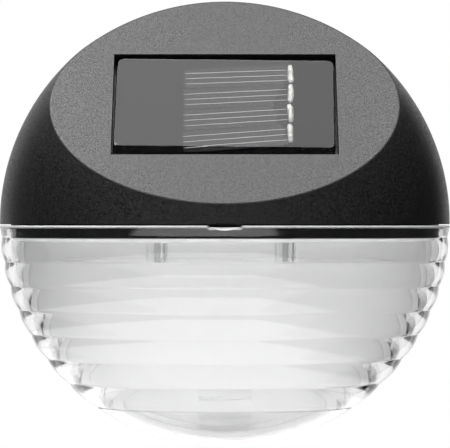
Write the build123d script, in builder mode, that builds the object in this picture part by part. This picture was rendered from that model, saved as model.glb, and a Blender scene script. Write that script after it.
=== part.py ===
from build123d import *
import os
from math import cos, radians, sin, sqrt, tan

# Round solar fence light, in millimetres: a black cap with a solar panel in its sloping face,
# a clear ribbed lens under it, and a back plate that hangs on one screw.
# The back lies on the fence in the plane Y = 0, +Z points up and the front faces -Y,
# so a depth d in front of the fence is y = -d.

# ---- outer form ----
body_radius = 55.0
rim_depth = 18.5  # straight side wall, from the fence forwards
dome_depth = 31.5  # ellipsoidal front beyond the straight wall
facet_tilt = 38.66  # degrees that the sloping face leans back from upright
facet_lead = 3.5  # how far the sloping face's plane passes in front of the dome at z = 0
facet_edge_radius = 0.7
split_height = -0.6  # top edge of the lens
split_gap = 0.3  # open line between the cap and the lens

# ---- cap ----
cap_wall = 2.2
ledge_thickness = 1.8  # shelf that closes the cap where the tub begins
tub_bottom = -3.6  # underside of the tub that reaches down inside the lens
tub_wall = 1.6
tub_floor = 1.8
boss_radius = 3.2
boss_margin = 7.6  # from the outer side to the centre of each screw boss
boss_angles = [5.1, 38.0, 142.0, 174.9]
scoop_width = 6.0  # shallow scoop over the lens's pry notch
scoop_height = 0.4

# ---- window and solar panel, measured along the sloping face ----
window_height = 28.7  # z of its centre
window_wall = 1.6
window_side_gap = 0.8  # open line round the panel
window_end_gap = 0.9
panel_width = 52.4
panel_length = 30.2
panel_twist = -0.8  # the panel is glued in a little askew
panel_shift = -0.5  # and rests low in its window
adhesive_thickness = 0.5
substrate_thickness = 1.2
cell_thickness = 0.3
resin_thickness = 1.5
resin_round = 1.1
panel_sink = 0.2  # crown of the resin below the sloping face
cell_width = 25.0
cell_length = 6.1
cell_pitch = 6.5
cell_count = 4
cell_tilt = 4.9
cell_fan = 0.9  # degrees that each strip leans more than the one above it
cell_offset = (2.7, 0.1)
tab_width = 1.2
tab_length = 5.6
tab_rise = 0.3  # each solder tab sits a little above the middle of its strip's end
lead_hole_width = 10.0
lead_hole_length = 4.0

# ---- lens ----
lens_wall = 2.2
lens_gap = 0.5  # round the tub that it slides over
rib_top = -3.5  # first of the level lines between ribs
rib_count = 7
rib_groove = 0.6  # depth of each line below the ribs' crests
rib_facets = 4  # flat strips that each rib's bulge is lofted through
foot_height = 9.85  # plain band under the last rib
foot_inset = 0.2
notch_width = 8.2
notch_height = 1.2
notch_cut = 1.1  # how far the pry notch goes into the front
tongue_width = 12.9  # clear tongue at the lens's foot, which stands in front of the reflector
tongue_height = 9.3
tongue_thickness = 1.8

# ---- back plate ----
plate_thickness = 2.2
plate_gap = 0.3
rim_wall = 1.5
rim_wall_depth = 5.0
rim_wall_gap = 0.2
pad_depth = 4.0  # depth of the plate's screw pads, where the cap's bosses meet them
pad_radius = 4.2
rib_wall = 1.4
support_spots = [-26.0, 0.0, 26.0]
support_top = -8.0
support_bottom = -44.0

# ---- hanging keyhole ----
key_margin = 1.15  # between its pocket and the battery's box
key_radius = 4.25
key_slot_width = 4.2
key_rise = 8.0  # from the entry's centre up to the seat
head_room = 5.0  # depth of the pocket for the screw's head
head_pocket_width = 10.4
pocket_wall = 1.4

# ---- battery, its compartment and door ----
cell_radius = 5.25
cell_body_length = 43.7
nub_radius = 1.9
nub_length = 0.8
box_lift = 0.25  # z of the underside of the battery's box
spring_length = 4.6  # contact spring with the battery in
trough_width = 11.3
trough_play = 0.3
ledge_end = 5.0
ledge_side = 2.4
door_thickness = 2.0
door_gap = 0.3
gasket_thickness = 0.8
gasket_width = 1.2
gasket_gap = 0.2
contact_thickness = 0.4
contact_width = 8.0
contact_tab_width = 3.0
contact_tab_reach = 2.0  # how far each contact's tab stands out for its lead

# ---- board and lamps ----
board_end = 2.4  # from each screw to the board's end
board_length = 14.0
board_thickness = 1.6
board_height = 1.6  # z of its underside
board_depth = 26.0  # depth of its centre line, where the lamps hang
board_shift = -0.9  # the board and its lamps sit a little to the left
post_radius = 2.3
post_margin = 0.5  # between each lamp and the screw post beside it
led_spread = 15.4
led_radius = 2.5
led_flange_radius = 2.9
led_flange_thickness = 1.0
led_length = 8.7
led_gap = 0.2
lead_radius = 0.25
lead_spread = 2.54
lead_hole_radius = 0.4
chip_width = 4.8
chip_length = 2.4
chip_height = 3.8
chip_spot = -6.0
coil_radius = 2.6
coil_height = 6.0
coil_flange = 1.0
coil_waist = 1.7
coil_spot = 6.0

# ---- switch ----
switch_side = 4.2  # between its pocket and the keyhole's
switch_rise = 2.35  # between its pocket and the battery's box
switch_pocket_width = 14.8
switch_pocket_length = 7.0
switch_pocket_depth = 2.6
switch_width = 8.6
switch_length = 4.4
switch_height = 4.7
stem_size = 1.8
stem_reach = 0.9
knob_width = 3.6
knob_length = 4.0
knob_depth = 0.7  # its outer face below the plate's back
knob_gap = 0.4
switch_travel = 2.5
switch_gap = 0.3
switch_ridge = 0.3

# ---- reflector ----
reflector_wall = 1.4
reflector_margin = 1.6  # between its edge and the lens
reflector_curve = 18.5  # width of its curved border
reflector_rise = 12.0  # how far the border comes forward
reflector_gap = 0.1
flange_gap = 0.5  # between its flat flange and the lens
ceiling_thickness = 1.1
ceiling_inset = 5.0
tongue_gap = 0.4  # between its edge and the lens's tongue in front of it

# ---- screws ----
back_screw_radius = 1.3
back_screw_length = 8.0
back_head_radius = 2.5
back_head_height = 1.6
small_screw_radius = 1.0
small_screw_length = 5.0
small_head_radius = 1.9
small_head_height = 1.2
head_sink = 0.3  # each head lies this far below the face that it is sunk in
thread_gap = 0.05
pilot_play = 0.5
shank_gap = 0.2
head_gap = 0.3
drive_width = 0.5
drive_depth = 0.6

# ---- leads ----
wire_radius = 0.5
wire_spread = 2.4
wire_bend = 3.2
wire_sides = 8
wire_drop = 6.0  # straight run down on to the board
wire_row = 3.6  # behind the board's centre line
switch_wire_spot = 11.0

# ---- places worked out from the sizes ----
tilt = radians(facet_tilt)
facet_foot = rim_depth + dome_depth + facet_lead  # depth of the sloping face's plane at z = 0
front = Plane(origin=(0, 0, 0), x_dir=(1, 0, 0), z_dir=(0, -1, 0))  # local x, z; offset is depth
profile = Plane(origin=(0, 0, 0), x_dir=(1, 0, 0), z_dir=(0, 0, -1))  # local radius, depth
window_depth = facet_foot - window_height * tan(tilt)
facet = Plane(
    origin=(0, -window_depth, window_height), x_dir=(1, 0, 0), z_dir=(0, -cos(tilt), sin(tilt))
)
window_width = panel_width + 2 * window_side_gap
window_length = panel_length + 2 * window_end_gap
recess_depth = adhesive_thickness + substrate_thickness + resin_thickness + panel_sink
twist = radians(panel_twist)
panel = Plane(
    origin=facet.from_local_coords((0, panel_shift, -recess_depth)),
    x_dir=facet.x_dir * cos(twist) + facet.y_dir * sin(twist),
    z_dir=facet.z_dir,
)
cap_edge = split_height + split_gap
boss_circle = body_radius - boss_margin
boss_spots = [
    (boss_circle * cos(radians(angle)), boss_circle * sin(radians(angle)))
    for angle in boss_angles
]
tub_inset = lens_wall + lens_gap
floor_top = tub_bottom + tub_floor
rib_pitch = (body_radius + rib_top - foot_height) / rib_count
tongue_top = tongue_height + lens_wall - body_radius
plate_radius = body_radius - max(cap_wall, lens_wall) - plate_gap
trough_length = spring_length + cell_body_length + nub_length + contact_thickness
door_length = trough_length + 2 * ledge_end
door_width = trough_width + 2 * ledge_side
door_seat = door_thickness + gasket_thickness + gasket_gap
trough_floor = door_seat + trough_play + 2 * cell_radius + trough_play
box_depth = trough_floor + pocket_wall
battery_depth = door_seat + trough_play + cell_radius
box_length = door_length + 2 * (door_gap + pocket_wall)
box_width = door_width + 2 * (door_gap + pocket_wall)
battery_height = box_lift + box_width / 2
battery_end = trough_length / 2 - contact_thickness  # where the battery's nub meets its contact
battery_foot = battery_end - nub_length - cell_body_length
door_screw_spots = [
    (side * (trough_length / 2 + ledge_end / 2), battery_height) for side in (-1, 1)
]
key_height = box_lift + box_width + key_margin + pocket_wall + head_pocket_width / 2
switch_spot = (
    head_pocket_width / 2 + switch_side + 2 * pocket_wall + switch_pocket_width / 2,
    box_lift + box_width + switch_rise + pocket_wall + switch_pocket_length / 2,
)
pocket_floor = plate_thickness + head_room
switch_seat = switch_pocket_depth + pocket_wall
board_top = board_height + board_thickness
post_spread = led_spread + led_flange_radius + post_margin + post_radius
board_width = 2 * (post_spread + board_end)
led_spots = [(board_shift + side * led_spread, -board_depth) for side in (-1, 1)]
post_spots = [(board_shift + side * post_spread, -board_depth) for side in (-1, 1)]
reflector_back = rim_wall_depth
reflector_edge_radius = body_radius - lens_wall - reflector_margin
reflector_flat_radius = reflector_edge_radius - reflector_curve
reflector_edge_depth = reflector_back + reflector_rise
ceiling_top = tub_bottom - reflector_gap


# ---- forms that several pieces share ----
def dome(inset):
    """The light's round front form, drawn in by inset at its side and its front."""
    radius = body_radius - inset
    with BuildPart() as form:
        with BuildSketch(profile):
            with BuildLine():
                EllipticalCenterArc((0, rim_depth), radius, dome_depth - inset, arc_size=90)
                Polyline((0, rim_depth + dome_depth - inset), (0, 0), (radius, 0), (radius, rim_depth))
            make_face()
        revolve(axis=Axis.Y)
    return form.part


def level_section(height, radius, front_reach):
    """Level cut through the front form: straight sides, then half an ellipse."""
    half_width = sqrt(radius**2 - height**2)
    with BuildSketch(Plane.XY.offset(height)) as outline:
        with BuildLine():
            Line((-half_width, 0), (-half_width, -rim_depth))
            EllipticalCenterArc(
                (0, -rim_depth),
                half_width,
                front_reach * half_width / radius,
                start_angle=180,
                arc_size=180,
            )
            Polyline((half_width, -rim_depth), (half_width, 0), (-half_width, 0))
        make_face()
    return outline.sketch


def rib_section(height, inset):
    return level_section(height, body_radius - inset, dome_depth - inset)


def rib_sections(upper):
    """Sections down one rib, which bulges from its two level lines as a parabola."""
    shares = [step / rib_facets for step in range(rib_facets + 1)]
    return [
        rib_section(upper - rib_pitch * share, rib_groove * (2 * share - 1) ** 2)
        for share in shares
    ]


def tub_outline(height, inset):
    """Outline that stays the same over the tub's height, inset from the front form."""
    outline = level_section(0, body_radius - inset, dome_depth - inset)
    return outline.moved(Location((0, 0, height)))


def screw(spots, plane, radius, length, head_radius, head_height):
    """Pan-head screws with a crossed drive, pointing along the plane's normal from its face."""
    with BuildPart() as screws:
        with BuildSketch(plane.offset(head_sink)):
            with Locations(*spots):
                Circle(head_radius)
        extrude(amount=head_height)
        edges = screws.edges().filter_by(GeomType.CIRCLE)
        chamfer(edges.group_by(Axis(plane.origin, plane.z_dir))[0], head_height / 4)
        with BuildSketch(plane.offset(head_sink + head_height)):
            with Locations(*spots):
                Circle(radius)
        extrude(amount=length)
        with BuildSketch(plane.offset(head_sink)):
            with Locations(*spots):
                Rectangle(1.3 * head_radius, drive_width)
                Rectangle(drive_width, 1.3 * head_radius)
        extrude(amount=drive_depth, mode=Mode.SUBTRACT)
    return screws.part


def wire(points, bend):
    """Round lead along straight runs joined by tangent arcs."""
    with BuildPart() as lead:
        with BuildLine() as route:
            FilletPolyline(*points, radius=bend)
        with BuildSketch(Plane(origin=route.line @ 0, z_dir=route.line % 0)):
            RegularPolygon(wire_radius, wire_sides)
        sweep()
    return lead.part


def arc_radius(chord, rise):
    """Radius of the arc that spans a chord with a given rise."""
    return (rise**2 + (chord / 2) ** 2) / (2 * rise)


def save(piece, name):
    piece.part.label = name
    export_step(piece.part, f"parts/{name}.step")


os.makedirs("parts", exist_ok=True)

# ---- cap core: the hollow inside the cap, left solid at bosses, posts and the panel's tray ----
hollow_form = dome(cap_wall)
with BuildPart() as core:
    add(hollow_form)
    split(bisect_by=facet.offset(-cap_wall), keep=Keep.BOTTOM)
    split(bisect_by=Plane.XY.offset(cap_edge + ledge_thickness), keep=Keep.TOP)
    extrude(
        tub_outline(floor_top, tub_inset + tub_wall),
        amount=cap_edge + 2 * ledge_thickness - floor_top,
    )
    with BuildSketch(front):
        Circle(body_radius - cap_wall)
    extrude(amount=rim_wall_depth + rim_wall_gap)
    with BuildSketch(front.offset(pad_depth)):
        with Locations(*boss_spots):
            Circle(boss_radius)
    extrude(amount=body_radius, mode=Mode.SUBTRACT)
    with BuildSketch(Plane.XY.offset(floor_top)):
        with Locations(*post_spots):
            Circle(post_radius)
    extrude(amount=board_height - floor_top, mode=Mode.SUBTRACT)
    with BuildSketch(facet):
        Rectangle(window_width + 2 * window_wall, window_length + 2 * window_wall)
    extrude(amount=-(recess_depth + window_wall), mode=Mode.SUBTRACT)

# ---- cap: half of the round form, cut by the sloping face, with the tub under it ----
outer_form = dome(0)
notch_radius = arc_radius(notch_width, notch_height)
scoop_radius = arc_radius(scoop_width, scoop_height)
front_reach = rim_depth + dome_depth
with BuildPart() as cap:
    add(outer_form)
    split(bisect_by=facet, keep=Keep.BOTTOM)
    split(bisect_by=Plane.XY.offset(cap_edge), keep=Keep.TOP)
    facet_face = cap.faces().sort_by(Axis(facet.origin, facet.z_dir))[-1]
    fillet(facet_face.edges(), facet_edge_radius)
    extrude(tub_outline(tub_bottom, tub_inset), amount=cap_edge + ledge_thickness - tub_bottom)
    add(core.part, mode=Mode.SUBTRACT)
    with BuildSketch(facet):
        Rectangle(window_width, window_length)
    extrude(amount=-recess_depth, mode=Mode.SUBTRACT)
    with BuildSketch(facet):
        Rectangle(lead_hole_width, lead_hole_length)
    extrude(amount=-(recess_depth + window_wall), mode=Mode.SUBTRACT)
    with BuildSketch(front.offset(pad_depth)):
        with Locations(*boss_spots):
            Circle(back_screw_radius + thread_gap)
    extrude(amount=back_screw_length, mode=Mode.SUBTRACT)
    with BuildSketch(Plane.XY.offset(board_height)):
        with Locations(*post_spots):
            Circle(small_screw_radius + thread_gap)
    extrude(amount=-(small_screw_length - board_thickness + pilot_play), mode=Mode.SUBTRACT)
    with BuildSketch(Plane.XY.offset(tub_bottom)):
        with Locations(*led_spots):
            Circle(led_radius + led_gap)
    extrude(amount=tub_floor, mode=Mode.SUBTRACT)
    with BuildSketch(front.offset(front_reach - notch_cut)):
        with Locations((0, cap_edge + scoop_height - scoop_radius)):
            Circle(scoop_radius)
    extrude(amount=2 * notch_cut, mode=Mode.SUBTRACT)
save(cap, "cap")

# ---- lens: ribs lofted through level sections, hollowed by the smooth inner form ----
rib_lines = [rib_top - rib_pitch * step for step in range(rib_count + 1)]
foot_form = dome(foot_inset)
lens_hollow = dome(lens_wall)
with BuildPart() as lens:
    add(foot_form)
    split(bisect_by=Plane.XY.offset(rib_lines[-1]), keep=Keep.BOTTOM)
    loft([rib_section(split_height, 0), rib_section(rib_top, rib_groove)], ruled=True)
    for upper in rib_lines[:-1]:
        loft(rib_sections(upper), ruled=True)
    add(lens_hollow, mode=Mode.SUBTRACT)
    with BuildSketch(front.offset(front_reach - notch_cut)):
        with Locations((0, split_height - notch_height + notch_radius)):
            Circle(notch_radius)
    extrude(amount=2 * notch_cut, mode=Mode.SUBTRACT)
    with BuildSketch(front.offset(reflector_edge_depth + tongue_gap)):
        with Locations((0, tongue_top)):
            Rectangle(
                tongue_width,
                body_radius - lens_wall / 2 + tongue_top,
                align=(Align.CENTER, Align.MAX),
            )
    extrude(amount=tongue_thickness)
save(lens, "lens")

# ---- reflector: white half bowl with a ceiling under the tub ----
flat_depth = reflector_back + reflector_wall
with BuildPart() as reflector:
    with BuildSketch(profile):
        with BuildLine():
            Polyline(
                (0, flat_depth), (0, reflector_back), (reflector_flat_radius, reflector_back)
            )
            EllipticalCenterArc(
                (reflector_flat_radius, reflector_edge_depth),
                reflector_edge_radius - reflector_flat_radius,
                reflector_edge_depth - reflector_back,
                start_angle=270,
                arc_size=90,
            )
            Line(
                (reflector_edge_radius, reflector_edge_depth),
                (reflector_edge_radius - reflector_wall, reflector_edge_depth),
            )
            EllipticalCenterArc(
                (reflector_flat_radius, reflector_edge_depth),
                reflector_edge_radius - reflector_wall - reflector_flat_radius,
                reflector_edge_depth - flat_depth,
                start_angle=270,
                arc_size=90,
            )
            Line((reflector_flat_radius, flat_depth), (0, flat_depth))
        make_face()
    revolve(axis=Axis.Y)
    with BuildSketch(front.offset(reflector_back)):
        Circle(body_radius - lens_wall - flange_gap)
        Circle(reflector_flat_radius, mode=Mode.SUBTRACT)
    extrude(amount=reflector_wall)
    split(bisect_by=Plane.XY.offset(ceiling_top), keep=Keep.BOTTOM)
    extrude(tub_outline(ceiling_top, ceiling_inset), amount=-ceiling_thickness)
    with BuildSketch(Plane.XY.offset(ceiling_top)):
        Rectangle(2 * body_radius, reflector_back, align=(Align.CENTER, Align.MAX))
        with Locations(*led_spots):
            Circle(led_radius + led_gap)
    extrude(amount=-ceiling_thickness, mode=Mode.SUBTRACT)
save(reflector, "reflector")

# ---- back plate: disc with a rim wall, battery box, switch pocket and keyhole pocket ----
with BuildPart() as back_plate:
    with BuildSketch(front):
        Circle(plate_radius)
    extrude(amount=plate_thickness)
    with BuildSketch(front.offset(plate_thickness)):
        Circle(plate_radius)
        Circle(plate_radius - rim_wall, mode=Mode.SUBTRACT)
        with Locations((0, tub_bottom / 2)):
            Rectangle(2 * body_radius, -2 * tub_bottom, mode=Mode.SUBTRACT)
    extrude(amount=rim_wall_depth - plate_thickness)
    with BuildSketch(front.offset(plate_thickness)):
        for x in support_spots:
            with Locations((x, (support_top + support_bottom) / 2)):
                Rectangle(rib_wall, support_top - support_bottom)
        with Locations((0, (support_top + support_bottom) / 2)):
            Rectangle(support_spots[-1] - support_spots[0], rib_wall)
        Circle(plate_radius - rim_wall / 2, mode=Mode.INTERSECT)
    extrude(amount=reflector_back - plate_thickness)
    with BuildSketch(front):
        with Locations(*boss_spots):
            Circle(pad_radius)
    extrude(amount=pad_depth)
    with BuildSketch(front):
        with Locations((0, battery_height)):
            Rectangle(box_length, box_width)
    extrude(amount=box_depth)
    with BuildSketch(front):
        with Locations(switch_spot):
            Rectangle(
                switch_pocket_width + 2 * pocket_wall, switch_pocket_length + 2 * pocket_wall
            )
    extrude(amount=switch_seat)
    with BuildSketch(front):
        with Locations((0, key_height + key_rise / 2)):
            SlotCenterToCenter(key_rise, head_pocket_width + 2 * pocket_wall, rotation=90)
    extrude(amount=pocket_floor + pocket_wall)
    # openings
    with BuildSketch(front):
        with Locations(*boss_spots):
            Circle(back_head_radius + head_gap)
    extrude(amount=head_sink + back_head_height, mode=Mode.SUBTRACT)
    with BuildSketch(front):
        with Locations(*boss_spots):
            Circle(back_screw_radius + shank_gap)
    extrude(amount=pad_depth, mode=Mode.SUBTRACT)
    with BuildSketch(front):
        with Locations((0, battery_height)):
            Rectangle(door_length + 2 * door_gap, door_width + 2 * door_gap)
    extrude(amount=door_seat, mode=Mode.SUBTRACT)
    with BuildSketch(front):
        with Locations((0, battery_height)):
            Rectangle(trough_length, trough_width)
    extrude(amount=trough_floor, mode=Mode.SUBTRACT)
    with BuildSketch(front.offset(door_seat)):
        with Locations(*door_screw_spots):
            Circle(small_screw_radius + thread_gap)
    extrude(amount=small_screw_length + pilot_play, mode=Mode.SUBTRACT)
    with BuildSketch(front.offset(trough_floor)):
        for side in (-1, 1):
            with Locations((side * (trough_length - contact_thickness) / 2, battery_height)):
                Rectangle(contact_thickness, contact_tab_width)
    extrude(amount=pocket_wall, mode=Mode.SUBTRACT)
    with BuildSketch(front.offset(plate_thickness)):
        with Locations((0, key_height + key_rise / 2)):
            SlotCenterToCenter(key_rise, head_pocket_width, rotation=90)
    extrude(amount=head_room, mode=Mode.SUBTRACT)
    with BuildSketch(front):
        with Locations((0, key_height)):
            Circle(key_radius)
        with Locations((0, key_height + key_rise / 2)):
            SlotCenterToCenter(key_rise, key_slot_width, rotation=90)
    extrude(amount=plate_thickness, mode=Mode.SUBTRACT)
    with BuildSketch(front):
        with Locations(switch_spot):
            Rectangle(switch_pocket_width, switch_pocket_length)
    extrude(amount=switch_pocket_depth, mode=Mode.SUBTRACT)
    with BuildSketch(front):
        with Locations(switch_spot):
            Rectangle(
                stem_size + switch_travel + 2 * switch_gap, stem_size + 2 * switch_gap
            )
    extrude(amount=switch_seat, mode=Mode.SUBTRACT)
save(back_plate, "back_plate")

back_screws = screw(
    boss_spots, front, back_screw_radius, back_screw_length, back_head_radius, back_head_height
)
back_screws.label = "back_screws"
export_step(back_screws, "parts/back_screws.step")

# ---- battery door, its gasket and screws ----
with BuildPart() as battery_door:
    with BuildSketch(front):
        with Locations((0, battery_height)):
            Rectangle(door_length, door_width)
    extrude(amount=door_thickness)
    with BuildSketch(front):
        with Locations(*door_screw_spots):
            Circle(small_head_radius + head_gap)
    extrude(amount=head_sink + small_head_height, mode=Mode.SUBTRACT)
    with BuildSketch(front):
        with Locations(*door_screw_spots):
            Circle(small_screw_radius + shank_gap)
    extrude(amount=door_thickness, mode=Mode.SUBTRACT)
    with BuildSketch(front):
        with Locations((0, battery_height)):
            with GridLocations(3, 0, 3, 1):
                Rectangle(1.0, door_width / 2)
    extrude(amount=head_sink, mode=Mode.SUBTRACT)
save(battery_door, "battery_door")

door_screws = screw(
    door_screw_spots,
    front,
    small_screw_radius,
    small_screw_length,
    small_head_radius,
    small_head_height,
)
door_screws.label = "door_screws"
export_step(door_screws, "parts/door_screws.step")

with BuildPart() as door_gasket:
    with BuildSketch(front.offset(door_thickness)):
        with Locations((0, battery_height)):
            Rectangle(trough_length + 2 * gasket_width, trough_width + 2 * gasket_width)
            Rectangle(trough_length, trough_width, mode=Mode.SUBTRACT)
    extrude(amount=gasket_thickness)
save(door_gasket, "door_gasket")

# ---- battery and its contacts ----
across = Plane(origin=(0, -battery_depth, battery_height), x_dir=(0, 1, 0), z_dir=(1, 0, 0))
with BuildPart() as battery:
    with BuildSketch(across.offset(battery_foot)):
        Circle(cell_radius)
    extrude(amount=cell_body_length)
    chamfer(battery.edges().filter_by(GeomType.CIRCLE), contact_thickness)
    with BuildSketch(across.offset(battery_foot + cell_body_length)):
        Circle(nub_radius)
    extrude(amount=nub_length)
save(battery, "battery")

tab_depth = trough_floor + pocket_wall + contact_tab_reach - battery_depth
with BuildPart() as contact_plate:
    with BuildSketch(across.offset(battery_end)):
        Rectangle(contact_width, contact_width)
        with Locations((-tab_depth, 0)):
            Rectangle(tab_depth, contact_tab_width, align=(Align.MIN, Align.CENTER))
    extrude(amount=contact_thickness)
save(contact_plate, "contact_plate")

level = Plane.XY.offset(battery_height)
with BuildPart() as contact_spring:
    with BuildSketch(across.offset(-trough_length / 2)):
        Rectangle(contact_width, contact_width)
        with Locations((-tab_depth, 0)):
            Rectangle(tab_depth, contact_tab_width, align=(Align.MIN, Align.CENTER))
    extrude(amount=contact_thickness)
    with BuildSketch(level.offset(-contact_width / 2)):
        with BuildLine():
            start = (-trough_length / 2, -battery_depth + contact_width / 2)
            crest = (-trough_length / 2 + spring_length, -battery_depth)
            finish = (-trough_length / 2, -battery_depth - contact_width / 2)
            bow = ThreePointArc(start, crest, finish)
            inner = ThreePointArc(
                (start[0], start[1] - contact_thickness),
                (crest[0] - contact_thickness, crest[1]),
                (finish[0], finish[1] + contact_thickness),
            )
            Line(bow @ 0, inner @ 0)
            Line(bow @ 1, inner @ 1)
        make_face()
    extrude(amount=contact_width)
save(contact_spring, "contact_spring")

# ---- circuit board, its screws and what it carries ----
lead_spots = [
    (x + side * lead_spread / 2, y) for x, y in led_spots for side in (-1, 1)
]
with BuildPart() as circuit_board:
    with BuildSketch(Plane.XY.offset(board_height)):
        with Locations((board_shift, -board_depth)):
            Rectangle(board_width, board_length)
        with Locations(*post_spots):
            Circle(small_screw_radius + shank_gap, mode=Mode.SUBTRACT)
        with Locations(*lead_spots):
            Circle(lead_hole_radius, mode=Mode.SUBTRACT)
    extrude(amount=board_thickness)
save(circuit_board, "circuit_board")

downwards = Plane(
    origin=(0, 0, board_top + small_head_height + head_sink), x_dir=(1, 0, 0), z_dir=(0, 0, -1)
)
board_screws = screw(
    [(x, -y) for x, y in post_spots],
    downwards,
    small_screw_radius,
    small_screw_length,
    small_head_radius,
    small_head_height,
)
board_screws.label = "board_screws"
export_step(board_screws, "parts/board_screws.step")

led_body = led_length - led_flange_thickness - led_radius
for name, (x, y) in zip(("led_left", "led_right"), led_spots):
    with BuildPart() as led:
        with BuildSketch(Plane.XY.offset(floor_top)):
            with Locations((x, y)):
                Circle(led_flange_radius)
        extrude(amount=led_flange_thickness)
        with BuildSketch(Plane.XY.offset(floor_top)):
            with Locations((x, y)):
                Circle(led_radius)
        extrude(amount=-led_body)
        with Locations((x, y, floor_top - led_body)):
            Sphere(led_radius)
    save(led, name)

lead_foot = floor_top + led_flange_thickness
with BuildPart() as led_leads:
    with BuildSketch(Plane.XY.offset(lead_foot)):
        with Locations(*lead_spots):
            Circle(lead_radius)
    extrude(amount=board_top + lead_spread / 2 - lead_foot)
save(led_leads, "led_leads")

with BuildPart() as driver_chip:
    with BuildSketch(Plane.XY.offset(board_top)):
        with Locations((board_shift + chip_spot, -board_depth)):
            Rectangle(chip_width, chip_length)
    extrude(amount=chip_height)
    flat_edges = driver_chip.edges().filter_by(Axis.Z).group_by(Axis.Y)[0]
    chamfer(flat_edges, chip_length / 4)
save(driver_chip, "driver_chip")

coil_plane = Plane(
    origin=(board_shift + coil_spot, -board_depth, board_top), x_dir=(1, 0, 0), z_dir=(0, -1, 0)
)
with BuildPart() as inductor:
    with BuildSketch(coil_plane):
        Rectangle(coil_radius, coil_flange, align=(Align.MIN, Align.MIN))
        Rectangle(coil_waist, coil_height, align=(Align.MIN, Align.MIN))
        with Locations((0, coil_height)):
            Rectangle(coil_radius, coil_flange, align=(Align.MIN, Align.MAX))
    revolve(axis=Axis(coil_plane.origin, (0, 0, 1)))
save(inductor, "inductor")

# ---- solar panel in its window ----
with BuildPart() as panel_adhesive:
    with BuildSketch(panel):
        Rectangle(panel_width - 2 * window_wall, panel_length - 2 * window_wall)
        Rectangle(2 * lead_hole_width, 2 * lead_hole_length, mode=Mode.SUBTRACT)
    extrude(amount=adhesive_thickness)
save(panel_adhesive, "panel_adhesive")

substrate_plane = panel.offset(adhesive_thickness)
with BuildPart() as panel_substrate:
    with BuildSketch(substrate_plane):
        Rectangle(panel_width, panel_length)
    extrude(amount=substrate_thickness)
save(panel_substrate, "panel_substrate")

cell_plane = substrate_plane.offset(substrate_thickness)
strip_steps = [step - (cell_count - 1) / 2 for step in range(cell_count)]
strips = [
    (cell_offset[0], cell_offset[1] + cell_pitch * step, cell_tilt - cell_fan * step)
    for step in strip_steps
]  # each strip's middle and its lean in degrees, from the lowest one up
with BuildPart() as cell_strips:
    with BuildSketch(cell_plane):
        for x, y, lean in strips:
            with Locations((x, y)):
                Rectangle(cell_width, cell_length, rotation=lean)
    extrude(amount=cell_thickness)
save(cell_strips, "cell_strips")

tab_reach = (cell_width + tab_width) / 2
with BuildPart() as cell_tabs:
    with BuildSketch(cell_plane):
        for x, y, lean in strips:
            with Locations(
                (
                    x + tab_reach * cos(radians(lean)) - tab_rise * sin(radians(lean)),
                    y + tab_reach * sin(radians(lean)) + tab_rise * cos(radians(lean)),
                )
            ):
                Rectangle(tab_width, tab_length, rotation=lean)
    extrude(amount=cell_thickness)
save(cell_tabs, "cell_tabs")

with BuildPart() as panel_resin:
    with BuildSketch(cell_plane):
        Rectangle(panel_width, panel_length)
    extrude(amount=resin_thickness)
    crown = panel_resin.faces().sort_by(Axis(cell_plane.origin, cell_plane.z_dir))[-1]
    fillet(crown.edges(), resin_round)
    add(cell_strips.part, mode=Mode.SUBTRACT)
    add(cell_tabs.part, mode=Mode.SUBTRACT)
save(panel_resin, "panel_resin")

# ---- switch ----
with BuildPart() as switch_body:
    with BuildSketch(front.offset(switch_seat)):
        with Locations(switch_spot):
            Rectangle(switch_width, switch_length)
    extrude(amount=switch_height)
    with BuildSketch(front.offset(switch_seat)):
        with Locations(switch_spot):
            Rectangle(
                stem_size + switch_travel + 2 * switch_gap, stem_size + 2 * switch_gap
            )
    extrude(amount=stem_reach + switch_gap, mode=Mode.SUBTRACT)
save(switch_body, "switch_body")

knob_spot = (switch_spot[0] - switch_travel / 2, switch_spot[1])
with BuildPart() as switch_slider:
    with BuildSketch(front.offset(knob_depth)):
        with Locations(knob_spot):
            Rectangle(knob_width, knob_length)
    extrude(amount=switch_pocket_depth - knob_gap - knob_depth)
    with BuildSketch(front.offset(knob_depth)):
        with Locations(knob_spot):
            with GridLocations(3 * switch_ridge, 0, 3, 1):
                Rectangle(switch_ridge, knob_length)
    extrude(amount=switch_ridge, mode=Mode.SUBTRACT)
    with BuildSketch(front.offset(switch_pocket_depth - knob_gap)):
        with Locations(knob_spot):
            Rectangle(stem_size, stem_size)
    extrude(amount=knob_gap + pocket_wall + stem_reach)
save(switch_slider, "switch_slider")

# ---- leads inside the cap ----
exit_point = panel.from_local_coords((0, 0, adhesive_thickness))
turn_point = exit_point - facet.z_dir * (recess_depth + window_wall + wire_bend)
with BuildPart() as panel_leads:
    for side in (-1, 1):
        shift = Vector(side * wire_spread / 2, 0, 0)
        foot = Vector(0, -board_depth, board_top)
        points = [exit_point, turn_point, foot + Vector(0, 0, wire_drop), foot]
        add(wire([point + shift for point in points], wire_bend))
save(panel_leads, "panel_leads")

tab_end = trough_floor + pocket_wall + contact_tab_reach
with BuildPart() as battery_leads:
    for side in (-1, 1):
        x = side * (trough_length - contact_thickness) / 2
        foot_spot = board_shift + side * (led_spread + post_spread) / 2
        foot = Vector(foot_spot, wire_row - board_depth, board_top)
        points = [
            Vector(x, -tab_end, battery_height),
            Vector(x, foot.Y, battery_height),
            foot + Vector(0, 0, wire_drop),
            foot,
        ]
        add(wire(points, wire_bend))
save(battery_leads, "battery_leads")

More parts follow.
